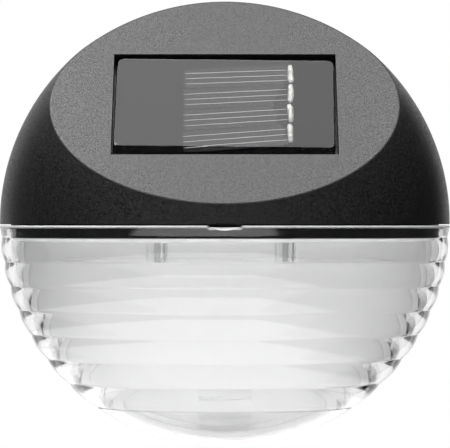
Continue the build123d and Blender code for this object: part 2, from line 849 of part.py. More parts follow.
with BuildPart() as switch_leads:
    for side in (-1, 1):
        shift = Vector(side * wire_spread / 2, 0, 0)
        start = Vector(switch_spot[0], -(switch_seat + switch_height), switch_spot[1])
        foot = Vector(switch_wire_spot, wire_row - board_depth, board_top)
        points = [start, Vector(start.X, foot.Y, start.Z), foot + Vector(0, 0, wire_drop), foot]
        add(wire([point + shift for point in points], wire_bend))
save(switch_leads, "switch_leads")
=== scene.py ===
"""Looks of a round solar fence light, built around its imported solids.

Everything is in metres and in the solids' own frame: the back lies in the plane y = 0, the front
faces -Y and +Z points up, so a depth in front of the fence is -y.
"""

import logging
from collections.abc import Iterable, Sequence
from dataclasses import dataclass, field
from enum import Enum
from math import asin, cos, pi, radians, sin

import bmesh
import bpy
import numpy as np
from mathutils import Matrix, Vector


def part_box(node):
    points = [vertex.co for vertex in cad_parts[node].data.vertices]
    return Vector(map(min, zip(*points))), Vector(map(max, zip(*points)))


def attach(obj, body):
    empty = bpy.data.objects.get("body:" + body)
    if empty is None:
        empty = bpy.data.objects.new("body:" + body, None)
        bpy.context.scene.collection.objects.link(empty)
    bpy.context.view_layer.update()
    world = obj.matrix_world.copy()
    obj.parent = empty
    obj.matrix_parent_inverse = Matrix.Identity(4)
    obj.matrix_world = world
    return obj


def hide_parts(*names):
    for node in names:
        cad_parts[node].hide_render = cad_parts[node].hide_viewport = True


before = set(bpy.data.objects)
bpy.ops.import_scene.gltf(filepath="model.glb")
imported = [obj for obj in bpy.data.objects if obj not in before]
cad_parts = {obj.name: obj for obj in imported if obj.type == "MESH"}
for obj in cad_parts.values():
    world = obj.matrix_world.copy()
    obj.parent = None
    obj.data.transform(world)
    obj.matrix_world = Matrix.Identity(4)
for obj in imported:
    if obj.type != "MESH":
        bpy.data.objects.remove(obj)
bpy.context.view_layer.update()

MM = 0.001
MERGE_DISTANCE = 0.0005 * MM
SHORTEST_EDGE = 0.0001 * MM
SHARP_ANGLE = 30.0
LEAD_SPREAD = 2.54 * MM
log = logging.getLogger("solar_fence_light")

Colour = tuple[float, float, float]
Point = tuple[float, float, float]
Inputs = dict[str, object]


class Body(Enum):
    """The rigid bodies that the new pieces ride on."""

    HOUSING = "housing"
    LENS = "lens"


class Side(Enum):
    """Left or right as seen from the front."""

    LEFT = -1
    RIGHT = 1


# ---------------------------------------------------------------- drawing node trees


class NodeSheet:
    """A node tree while it is drawn: adds nodes, sets their inputs and joins them."""

    def __init__(self, tree: bpy.types.NodeTree) -> None:
        """Starts on an empty tree.

        Args:
            tree: the node tree to draw in.
        """
        self.tree = tree
        self.tree.nodes.clear()

    def feed(self, node: bpy.types.Node, socket: str | int, value: object) -> None:
        """Joins or sets one input.

        Args:
            node: the node whose input it is.
            socket: the input's name or number.
            value: another node's output to join, or a plain value.
        """
        target = node.inputs[socket]
        if isinstance(value, bpy.types.NodeSocket):
            self.tree.links.new(value, target)
        elif target.type == "RGBA" and len(value) == 3:
            target.default_value = (*value, 1.0)
        else:
            target.default_value = value

    def add(self, kind: str, inputs: dict | None = None, **settings: object) -> bpy.types.Node:
        """Adds a node.

        Args:
            kind: Blender's class name after ShaderNode.
            inputs: values or outputs for its inputs, by name or number.
            settings: the node's own properties.

        Returns:
            The new node.
        """
        node = self.tree.nodes.new(f"ShaderNode{kind}")
        for name, value in settings.items():
            setattr(node, name, value)
        for socket, value in (inputs or {}).items():
            self.feed(node, socket, value)
        return node

    def sum_up(self, operation: str, first: object, second: object = 0.0) -> bpy.types.NodeSocket:
        """Works out one number from two.

        Args:
            operation: Blender's name of the sum.
            first: a number or an output.
            second: a number or an output.

        Returns:
            The result's output.
        """
        return self.add("Math", {0: first, 1: second}, operation=operation).outputs[0]

    def times(self, first: object, *others: object) -> bpy.types.NodeSocket:
        """Multiplies numbers.

        Args:
            first: a number or an output.
            others: more numbers or outputs.

        Returns:
            The product's output.
        """
        for other in others:
            first = self.sum_up("MULTIPLY", first, other)
        return first

    def mix(self, share: object, first: object, second: object) -> bpy.types.NodeSocket:
        """Mixes two colours.

        Args:
            share: how much of the second colour.
            first: the colour at share 0.
            second: the colour at share 1.

        Returns:
            The mixed colour's output.
        """
        node = self.add("Mix", data_type="RGBA")
        self.feed(node, 0, share)
        self.feed(node, 6, first)
        self.feed(node, 7, second)
        return node.outputs[2]

    def spread(
        self, value: object, low: float, high: float, start: float = 0.0, end: float = 1.0
    ) -> bpy.types.NodeSocket:
        """Carries a value from one range to another along a smooth step.

        Args:
            value: the output to carry over.
            low: the value that becomes start.
            high: the value that becomes end.
            start: the lowest result.
            end: the highest result.

        Returns:
            The result's output.
        """
        node = self.add(
            "MapRange",
            {"Value": value, "From Min": low, "From Max": high, "To Min": start, "To Max": end},
            interpolation_type="SMOOTHSTEP",
        )
        return node.outputs["Result"]

    def place(self, centre: Point = (0, 0, 0), scale: Point = (1, 1, 1)) -> bpy.types.NodeSocket:
        """Object coordinates measured from a centre and stretched.

        Args:
            centre: the point that becomes the origin.
            scale: how much each axis is stretched.

        Returns:
            The coordinates' output.
        """
        coordinates = self.add("TexCoord").outputs["Object"]
        shift = tuple(-c * s for c, s in zip(centre, scale))
        mapping = self.add("Mapping", {"Vector": coordinates, "Location": shift, "Scale": scale})
        return mapping.outputs["Vector"]

    def effect(self, tree: bpy.types.NodeTree, **inputs: object) -> bpy.types.Node:
        """Puts a shared effect into this tree.

        Args:
            tree: the shared effect.
            inputs: its inputs, with underscores for the spaces in their names.

        Returns:
            The node that holds the effect.
        """
        node = self.add("Group", node_tree=tree)
        for name, value in inputs.items():
            self.feed(node, name.replace("_", " "), value)
        return node

    def drift(self, colour: object, drift: float, size: float) -> bpy.types.Node:
        """Puts the slow change of tone into this tree.

        Args:
            colour: the colour that changes.
            drift: the greatest change either way, as a share.
            size: how far apart light and dark lie, in metres.

        Returns:
            The node, with outputs Colour and Mask.
        """
        return self.effect(
            EFFECTS.drift, Position=self.place(), Colour=colour, Drift=drift, Size=size
        )


# ---------------------------------------------------------------- effects that finishes share


class Effects:
    """The shared effects, each drawn once as a node group."""

    def __init__(self) -> None:
        """Draws the groups."""
        self.grain = self._grain()
        self.drift = self._drift()
        self.dust = self._dust()
        self.streaks = self._streaks()

    @staticmethod
    def _open(name: str, inputs: dict[str, str], outputs: dict[str, str]) -> tuple:
        """Opens a group with named sockets.

        Args:
            name: the effect's name.
            inputs: socket kinds by input name.
            outputs: socket kinds by output name.

        Returns:
            The tree, its sheet, the node that brings the inputs and the one for the outputs.
        """
        tree = bpy.data.node_groups.new(name, "ShaderNodeTree")
        for direction, sockets in (("INPUT", inputs), ("OUTPUT", outputs)):
            for socket, kind in sockets.items():
                tree.interface.new_socket(
                    name=socket, in_out=direction, socket_type=f"NodeSocket{kind}"
                )
        sheet = NodeSheet(tree)
        inlet = tree.nodes.new("NodeGroupInput")
        outlet = tree.nodes.new("NodeGroupOutput")
        return tree, sheet, inlet, outlet

    def _grain(self) -> bpy.types.NodeTree:
        """Spark-eroded grain: rounded pits one Size across, with finer noise on their edges.

        Returns:
            The group, which puts out Height from 0 to 1 and Tone, a slower light and dark mottle.
        """
        tree, sheet, inlet, outlet = self._open(
            "moulded_grain",
            {"Position": "Vector", "Size": "Float"},
            {"Height": "Float", "Tone": "Float"},
        )
        scale = sheet.sum_up("DIVIDE", 1.0, inlet.outputs["Size"])
        pits = sheet.add(
            "TexNoise",
            {"Vector": inlet.outputs["Position"], "Scale": scale, "Detail": 2.0, "Roughness": 0.6},
        )
        slow = sheet.add(
            "TexNoise",
            {
                "Vector": inlet.outputs["Position"],
                "Scale": sheet.times(scale, 0.45),
                "Detail": 3.0,
            },
        )
        sheet.feed(outlet, "Height", sheet.spread(pits.outputs["Fac"], 0.3, 0.7))
        sheet.feed(outlet, "Tone", sheet.spread(slow.outputs["Fac"], 0.35, 0.65))
        return tree

    def _drift(self) -> bpy.types.NodeTree:
        """Slow change of tone over a moulding, from darker to lighter by Drift either way.

        Returns:
            The group, which puts out Colour and the Mask that it was made with.
        """
        tree, sheet, inlet, outlet = self._open(
            "tone_drift",
            {"Position": "Vector", "Colour": "Color", "Drift": "Float", "Size": "Float"},
            {"Colour": "Color", "Mask": "Float"},
        )
        scale = sheet.sum_up("DIVIDE", 1.0, inlet.outputs["Size"])
        noise = sheet.add(
            "TexNoise", {"Vector": inlet.outputs["Position"], "Scale": scale, "Detail": 2.0}
        )
        mask = sheet.spread(noise.outputs["Fac"], 0.3, 0.7)
        swing = sheet.times(sheet.sum_up("SUBTRACT", mask, 0.5), 2.0, inlet.outputs["Drift"])
        value = sheet.sum_up("ADD", 1.0, swing)
        tone = sheet.add("HueSaturation", {"Color": inlet.outputs["Colour"], "Value": value})
        sheet.feed(outlet, "Colour", tone.outputs["Color"])
        sheet.feed(outlet, "Mask", mask)
        return tree

    def _dust(self) -> bpy.types.NodeTree:
        """Specks of pale dust that thin out as the surface turns from facing up.

        Returns:
            The group, which puts out Colour.
        """
        tree, sheet, inlet, outlet = self._open(
            "settled_dust",
            {"Position": "Vector", "Colour": "Color", "Dust Colour": "Color", "Amount": "Float"},
            {"Colour": "Color"},
        )
        geometry = sheet.add("NewGeometry")
        normal = sheet.add("SeparateXYZ", {0: geometry.outputs["Normal"]})
        upward = sheet.spread(normal.outputs["Z"], 0.0, 0.9)
        specks = sheet.add(
            "TexVoronoi", {"Vector": inlet.outputs["Position"], "Scale": 900.0, "Randomness": 1.0}
        )
        near = sheet.spread(specks.outputs["Distance"], 0.05, 0.16, 1.0, 0.0)
        patches = sheet.add("TexNoise", {"Vector": inlet.outputs["Position"], "Scale": 160.0})
        patchy = sheet.spread(patches.outputs["Fac"], 0.5, 0.72)
        mask = sheet.times(near, patchy, upward, inlet.outputs["Amount"])
        colour = sheet.mix(mask, inlet.outputs["Colour"], inlet.outputs["Dust Colour"])
        sheet.feed(outlet, "Colour", colour)
        return tree

    def _streaks(self) -> bpy.types.NodeTree:
        """Fine parallel streaks of rolled or drawn metal, long in x and short in y and z.

        Returns:
            The group, which puts out Height and Tone from 0 to 1.
        """
        tree, sheet, inlet, outlet = self._open(
            "rolled_streaks",
            {"Position": "Vector", "Size": "Float"},
            {"Height": "Float", "Tone": "Float"},
        )
        scale = sheet.sum_up("DIVIDE", 1.0, inlet.outputs["Size"])
        long = sheet.add(
            "Mapping", {"Vector": inlet.outputs["Position"], "Scale": (0.08, 1.0, 1.0)}
        )
        lines = sheet.add("TexNoise", {"Vector": long.outputs[0], "Scale": scale, "Detail": 3.0})
        cloud = sheet.add(
            "TexNoise",
            {"Vector": inlet.outputs["Position"], "Scale": sheet.times(scale, 0.2)},
        )
        sheet.feed(outlet, "Height", lines.outputs["Fac"])
        sheet.feed(outlet, "Tone", sheet.spread(cloud.outputs["Fac"], 0.35, 0.65))
        return tree


EFFECTS = Effects()


# ---------------------------------------------------------------- finishes


@dataclass(frozen=True)
class Finish:
    """What every finish has: a name and the way to its material."""

    name: str

    def material(self) -> bpy.types.Material:
        """Draws the finish once and hands the same material out again.

        Returns:
            The finish's material.
        """
        known = bpy.data.materials.get(self.name)
        if known is not None:
            return known
        material = bpy.data.materials.new(self.name)
        material.use_nodes = True
        sheet = NodeSheet(material.node_tree)
        shader = sheet.add("BsdfPrincipled", self.draw(sheet))
        sheet.add("OutputMaterial", {"Surface": shader.outputs[0], **self.fill(sheet)})
        return material

    def draw(self, sheet: NodeSheet) -> Inputs:
        """Draws what the Principled BSDF is fed with.

        Args:
            sheet: the material's tree.

        Returns:
            The shader's inputs.
        """
        raise NotImplementedError

    def fill(self, sheet: NodeSheet) -> Inputs:
        """Draws what fills the piece, which is nothing unless a finish says otherwise.

        Args:
            sheet: the material's tree.

        Returns:
            The output node's inputs besides its surface.
        """
        return {}

    @staticmethod
    def bump(sheet: NodeSheet, height: object, distance: float) -> bpy.types.NodeSocket:
        """Relief from a height.

        Args:
            sheet: the material's tree.
            height: the height's output, from 0 to 1.
            distance: how high 1 stands, in metres.

        Returns:
            The normal's output.
        """
        node = sheet.add("Bump", {"Height": height, "Distance": distance, "Strength": 1.0})
        return node.outputs["Normal"]


@dataclass(frozen=True)
class MouldedPlastic(Finish):
    """Opaque moulded plastic with a grained mould surface and a slow drift of tone."""

    colour: Colour = (0.02, 0.02, 0.02)
    roughness: float = 0.45
    grain_size: float = 0.35 * MM
    grain_depth: float = 0.012 * MM
    drift: float = 0.08
    drift_size: float = 14 * MM
    speckle: float = 0.0
    fleck: float = 3.0
    dust: float = 0.0
    dust_colour: Colour = (0.35, 0.34, 0.32)
    gloss: float = 0.5
    sheen_swing: float = 0.05

    def draw(self, sheet: NodeSheet) -> Inputs:
        """Grain as relief, sheen and a light mottle, with drift and dust in the colour.

        Args:
            sheet: the material's tree.

        Returns:
            The shader's inputs.
        """
        position = sheet.place()
        drift = sheet.drift(self.colour, self.drift, self.drift_size)
        grain = sheet.effect(EFFECTS.grain, Position=position, Size=self.grain_size)
        mottle = sheet.times(grain.outputs["Tone"], self.speckle)
        lighter = tuple(min(1.0, self.fleck * c) for c in self.colour)
        dusty = sheet.effect(
            EFFECTS.dust,
            Position=position,
            Colour=sheet.mix(mottle, drift.outputs["Colour"], lighter),
            Dust_Colour=self.dust_colour,
            Amount=self.dust,
        )
        low, high = self.roughness - self.sheen_swing, self.roughness + self.sheen_swing
        return {
            "Base Color": dusty.outputs["Colour"],
            "Roughness": sheet.spread(grain.outputs["Height"], 0.0, 1.0, high, low),
            "Specular IOR Level": self.gloss,
            "Normal": self.bump(sheet, grain.outputs["Height"], self.grain_depth),
        }


@dataclass(frozen=True)
class ClearPlastic(Finish):
    """Clear moulded plastic or resin, a touch wavy and a touch hazy in places."""

    tint: Colour = (0.995, 0.997, 0.997)
    ior: float = 1.58
    gloss: float = 0.5
    roughness: float = 0.0
    haze: float = 0.012
    wave_size: float = 9 * MM
    wave_depth: float = 0.01 * MM
    drift: float = 0.008
    absorption: float = 0.0

    def draw(self, sheet: NodeSheet) -> Inputs:
        """Glass with slow waves as relief and haze in the roughness.

        Args:
            sheet: the material's tree.

        Returns:
            The shader's inputs.
        """
        drift = sheet.drift(self.tint, self.drift, self.wave_size)
        mask = drift.outputs["Mask"]
        return {
            "Base Color": drift.outputs["Colour"],
            "Roughness": sheet.spread(mask, 0.0, 1.0, self.roughness, self.roughness + self.haze),
            "IOR": self.ior,
            "Specular IOR Level": self.gloss,
            "Transmission Weight": 1.0,
            "Normal": self.bump(sheet, mask, self.wave_depth),
        }

    def fill(self, sheet: NodeSheet) -> Inputs:
        """Grey that deepens with the way through the plastic, by e^(-absorption x way).

        Args:
            sheet: the material's tree.

        Returns:
            The output node's volume, where there is any absorption.
        """
        if not self.absorption:
            return {}
        depth = {"Color": (0.0, 0.0, 0.0), "Density": self.absorption}
        return {"Volume": sheet.add("VolumeAbsorption", depth).outputs[0]}


@dataclass(frozen=True)
class PlatedMetal(Finish):
    """Rolled or drawn metal under a thin plating."""

    colour: Colour = (0.62, 0.62, 0.6)
    roughness: float = 0.28
    sheen_swings: tuple[float, float] = (-0.08, 0.12)
    streak_size: float = 0.12 * MM
    streak_depth: float = 0.003 * MM
    drift: float = 0.12
    drift_size: float = 2 * MM

    def draw(self, sheet: NodeSheet) -> Inputs:
        """Streaks as relief, clouds in the tone and the roughness.

        Args:
            sheet: the material's tree.

        Returns:
            The shader's inputs.
        """
        streaks = sheet.effect(EFFECTS.streaks, Position=sheet.place(), Size=self.streak_size)
        low, high = (self.roughness + swing for swing in self.sheen_swings)
        return {
            "Base Color": sheet.drift(self.colour, self.drift, self.drift_size).outputs["Colour"],
            "Metallic": 1.0,
            "Roughness": sheet.spread(streaks.outputs["Tone"], 0.0, 1.0, low, high),
            "Normal": self.bump(sheet, streaks.outputs["Height"], self.streak_depth),
        }


@dataclass(frozen=True)
class SiliconCell(Finish):
    """Dark cell strips with the faint flake pattern of poured silicon."""

    colour: Colour = (0.0047, 0.0042, 0.0056)
    swing: float = 1.35
    flakes_per_metre: float = 300.0
    gloss: float = 0.1
    roughness: tuple[float, float] = (0.3, 0.42)

    def draw(self, sheet: NodeSheet) -> Inputs:
        """Flakes about 3 mm across that differ a little in tone.

        Args:
            sheet: the material's tree.

        Returns:
            The shader's inputs.
        """
        flakes = sheet.add(
            "TexVoronoi", {"Vector": sheet.place(), "Scale": self.flakes_per_metre}
        )
        tone = sheet.add("SeparateColor", {0: flakes.outputs["Color"]}).outputs[0]
        lighter = tuple(self.swing * c for c in self.colour)
        return {
            "Base Color": sheet.mix(tone, self.colour, lighter),
            "Roughness": sheet.spread(tone, 0.0, 1.0, *self.roughness),
            "Specular IOR Level": self.gloss,
        }


@dataclass(frozen=True)
class CircuitLaminate(Finish):
    """Solder mask over copper tracks, with tinned rings round the drilled holes."""

    holes: tuple[tuple[float, float], ...] = ()
    ring_radii: tuple[float, float] = (0.9 * MM, 1.0 * MM)
    mask_colour: Colour = (0.012, 0.1, 0.035)
    track_colour: Colour = (0.03, 0.2, 0.07)
    tin_colour: Colour = (0.55, 0.55, 0.53)
    relief: float = 0.03 * MM
    roughness: tuple[float, float] = (0.42, 0.3)
    cells_per_metre: float = 260.0
    scatter: float = 0.6
    track_edges: tuple[float, float] = (0.06, 0.1)

    def draw(self, sheet: NodeSheet) -> Inputs:
        """Tracks are the walls between large square cells; rings are distances from the holes.

        Args:
            sheet: the material's tree.

        Returns:
            The shader's inputs.
        """
        position = sheet.place()
        cells = sheet.add(
            "TexVoronoi",
            {"Vector": position, "Scale": self.cells_per_metre, "Randomness": self.scatter},
            distance="CHEBYCHEV",
            feature="DISTANCE_TO_EDGE",
        )
        tracks = sheet.spread(cells.outputs["Distance"], *self.track_edges, 1.0, 0.0)
        colour = sheet.mix(tracks, self.mask_colour, self.track_colour)
        parts = sheet.add("SeparateXYZ", {0: position})
        rings: object = 0.0
        for hole in self.holes:
            ways = (sheet.sum_up("SUBTRACT", parts.outputs[k], hole[k]) for k in range(2))
            squares = sheet.sum_up("ADD", *(sheet.sum_up("POWER", way, 2.0) for way in ways))
            away = sheet.sum_up("SQRT", squares)
            rings = sheet.sum_up("MAXIMUM", rings, sheet.spread(away, *self.ring_radii, 1.0, 0.0))
        height = sheet.sum_up("MAXIMUM", tracks, rings)
        return {
            "Base Color": sheet.mix(rings, colour, self.tin_colour),
            "Metallic": rings,
            "Roughness": sheet.spread(tracks, 0.0, 1.0, *self.roughness),
            "Normal": self.bump(sheet, height, self.relief),
        }


@dataclass(frozen=True)
class BatterySleeve(Finish):
    """Printed plastic sleeve with one plain band, and bare metal at both ends."""

    foot: float = 0.0
    shoulder: float = 1.0
    band_length: float = 9 * MM
    edge: float = 0.02 * MM
    sleeve_colour: Colour = (0.02, 0.09, 0.045)
    band_colour: Colour = (0.5, 0.5, 0.48)
    metal_colour: Colour = (0.66, 0.65, 0.62)
    roughness: tuple[float, float] = (0.24, 0.34)
    drift: float = 0.05
    drift_size: float = 6 * MM

    def draw(self, sheet: NodeSheet) -> Inputs:
        """The x coordinate tells sleeve, band and bare ends apart.

        Args:
            sheet: the material's tree.

        Returns:
            The shader's inputs.
        """
        x = sheet.add("SeparateXYZ", {0: sheet.place()}).outputs["X"]
        band_start = self.shoulder - self.band_length
        band = sheet.spread(x, band_start, band_start + self.edge)
        printed = sheet.mix(band, self.sleeve_colour, self.band_colour)
        past_shoulder = sheet.spread(x, self.shoulder - self.edge, self.shoulder)
        before_foot = sheet.spread(x, self.foot, self.foot + self.edge, 1.0, 0.0)
        bare = sheet.sum_up("MAXIMUM", past_shoulder, before_foot)
        drift = sheet.drift(printed, self.drift, self.drift_size)
        return {
            "Base Color": sheet.mix(bare, drift.outputs["Colour"], self.metal_colour),
            "Metallic": bare,
            "Roughness": sheet.spread(drift.outputs["Mask"], 0.0, 1.0, *self.roughness),
        }


@dataclass(frozen=True)
class WirePair(Finish):
    """Soft insulation of a pair of leads, one colour each side of a plane."""

    divide: float = 0.0
    left_colour: Colour = (0.015, 0.015, 0.016)
    right_colour: Colour = (0.42, 0.015, 0.012)
    roughness: tuple[float, float] = (0.38, 0.5)
    drift: float = 0.1
    drift_size: float = 3 * MM

    def draw(self, sheet: NodeSheet) -> Inputs:
        """The x coordinate picks the colour.

        Args:
            sheet: the material's tree.

        Returns:
            The shader's inputs.
        """
        x = sheet.add("SeparateXYZ", {0: sheet.place()}).outputs["X"]
        side = sheet.sum_up("GREATER_THAN", x, self.divide)
        pair = sheet.mix(side, self.left_colour, self.right_colour)
        drift = sheet.drift(pair, self.drift, self.drift_size)
        return {
            "Base Color": drift.outputs["Colour"],
            "Roughness": sheet.spread(drift.outputs["Mask"], 0.0, 1.0, *self.roughness),
        }


# ---------------------------------------------------------------- meshes


def grid_faces(rows: int, columns: int) -> np.ndarray:
    """Quads of a grid whose normals point along row step cross column step.

    Args:
        rows: rows of points.
        columns: points in each row.

    Returns:
        An array of four point numbers per face.
    """
    corner = np.arange(rows - 1)[:, None] * columns + np.arange(columns - 1)[None, :]
    corner = corner.ravel()
    return np.stack([corner, corner + columns, corner + columns + 1, corner + 1], axis=1)


def superellipse(turn: np.ndarray, powers: tuple[float, float]) -> tuple[np.ndarray, np.ndarray]:
    """Squarish oval: the circle's cosine and sine, each raised to its own power below 1.

    Args:
        turn: angles in radians.
        powers: the cosine's power and the sine's power.

    Returns:
        Both coordinates, from -1 to 1.
    """
    across, along = np.cos(turn), np.sin(turn)
    first, last = powers
    return np.sign(across) * np.abs(across) ** first, np.sign(along) * np.abs(along) ** last


@dataclass
class Shell:
    """Grids of points that are gathered into one mesh."""

    points: list[np.ndarray] = field(default_factory=list)
    faces: list[np.ndarray] = field(default_factory=list)
    count: int = 0

    def grid(self, points: np.ndarray, flip: bool = False) -> "Shell":
        """Adds a grid.

        Args:
            points: an array of rows by columns by three.
            flip: turns the faces over.

        Returns:
            This shell.
        """
        rows, columns = points.shape[:2]
        faces = grid_faces(rows, columns) + self.count
        self.faces.append(faces[:, ::-1] if flip else faces)
        self.points.append(points.reshape(-1, 3))
        self.count += rows * columns
        return self

    def lid(self, ring: np.ndarray, flip: bool = False) -> "Shell":
        """Closes a ring of points with a fan round its middle.

        Args:
            ring: an array of points by three.
            flip: turns the faces over.

        Returns:
            This shell.
        """
        return self.grid(np.stack([ring, np.broadcast_to(ring.mean(axis=0), ring.shape)]), flip)

    def bar(self, points: np.ndarray) -> "Shell":
        """Adds a bar: a grid whose columns are its closed sections, with a lid on both ends.

        Args:
            points: an array of points round the section by sections by three.

        Returns:
            This shell.
        """
        return self.grid(points).lid(points[:, 0]).lid(points[:, -1])

    def mesh(self, name: str, sharp_angle: float = SHARP_ANGLE) -> bpy.types.Mesh:
        """Merges the grids' doubles, turns the faces outwards and shades them smooth.

        Args:
            name: the mesh's name.
            sharp_angle: degrees past which an edge stays sharp.

        Returns:
            The mesh.
        """
        points, faces = np.concatenate(self.points), np.concatenate(self.faces)
        mesh = bpy.data.meshes.new(name)
        mesh.vertices.add(len(points))
        mesh.vertices.foreach_set("co", points.astype(np.float32).ravel())
        mesh.loops.add(faces.size)
        mesh.loops.foreach_set("vertex_index", faces.astype(np.int32).ravel())
        mesh.polygons.add(len(faces))
        mesh.polygons.foreach_set("loop_start", np.arange(0, faces.size, 4, dtype=np.int32))
        mesh.update(calc_edges=True)
        work = bmesh.new()
        work.from_mesh(mesh)
        bmesh.ops.remove_doubles(work, verts=work.verts, dist=MERGE_DISTANCE)
        bmesh.ops.dissolve_degenerate(work, edges=work.edges, dist=SHORTEST_EDGE)
        bmesh.ops.recalc_face_normals(work, faces=work.faces)
        work.to_mesh(mesh)
        work.free()
        shade_smooth(mesh, sharp_angle)
        return mesh


def shade_smooth(mesh: bpy.types.Mesh, sharp_angle: float) -> None:
    """Shades a mesh smooth between its sharp edges.

    Args:
        mesh: the mesh.
        sharp_angle: degrees past which an edge stays sharp.
    """
    mesh.polygons.foreach_set("use_smooth", np.ones(len(mesh.polygons), dtype=bool))
    mesh.set_sharp_from_angle(angle=radians(sharp_angle))


def piece(
    mesh: bpy.types.Mesh, body: Body, finish: Finish, slot: str, *nodes: str
) -> bpy.types.Object:
    """Makes a new piece of the light.

    Args:
        mesh: its mesh, in place.
        body: the body that it rides on.
        finish: its finish.
        slot: the record's slot that the finish belongs to; not used.
        nodes: the solids that it stands for.

    Returns:
        The piece.
    """
    obj = bpy.data.objects.new(mesh.name, mesh)
    bpy.context.scene.collection.objects.link(obj)
    mesh.materials.clear()
    mesh.materials.append(finish.material())
    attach(obj, body.value)
    if nodes:
        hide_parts(*nodes)
    log.info("%s: %d faces on %s", obj.name, len(mesh.polygons), body.value)
    return obj


def dress(finishes: dict[str, Finish]) -> None:
    """Gives solids their finishes.

    Args:
        finishes: a finish by node name.
    """
    for name, finish in finishes.items():
        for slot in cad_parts[name].material_slots:
            slot.material = finish.material()
        log.info("%s: %s", name, finish.name)


def node_box(name: str) -> tuple[np.ndarray, np.ndarray]:
    """Lowest and highest corner of a solid.

    Args:
        name: the node's name.

    Returns:
        The two corners.
    """
    low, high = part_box(name)
    return np.array(low), np.array(high)


def slab(low: Sequence[float], high: Sequence[float], shell: Shell) -> None:
    """Adds a closed block to a shell as one grid wrapped round it and two lids.

    Args:
        low: its lowest corner.
        high: its highest corner.
        shell: what it is added to.
    """
    (x0, y0, z0), (x1, y1, z1) = low, high
    ring = np.array([(x0, y0), (x1, y0), (x1, y1), (x0, y1), (x0, y0)])
    wall = np.stack([np.column_stack([ring, np.full(5, z)]) for z in (z1, z0)])
    shell.grid(wall)
    for z, flip in ((z1, True), (z0, False)):
        lid = np.array([[(x0, y0, z), (x1, y0, z)], [(x0, y1, z), (x1, y1, z)]])
        shell.grid(lid, flip)


def carve(obj: bpy.types.Object, tool: bpy.types.Mesh, operation: str) -> None:
    """Cuts or joins another closed mesh with a piece, for good.

    Args:
        obj: the piece.
        tool: the other mesh, which is used up.
        operation: DIFFERENCE or UNION.
    """
    helper = bpy.data.objects.new("carving_tool", tool)
    bpy.context.scene.collection.objects.link(helper)
    modifier = obj.modifiers.new("carve", "BOOLEAN")
    modifier.operation, modifier.solver, modifier.object = operation, "EXACT", helper
    graph = bpy.context.evaluated_depsgraph_get()
    carved = bpy.data.meshes.new_from_object(obj.evaluated_get(graph))
    obj.modifiers.clear()
    name, old = obj.data.name, obj.data
    obj.data = carved
    bpy.data.objects.remove(helper)
    bpy.data.meshes.remove(tool)
    bpy.data.meshes.remove(old)
    carved.name = name
    shade_smooth(carved, SHARP_ANGLE)


# ---------------------------------------------------------------- the light's parts


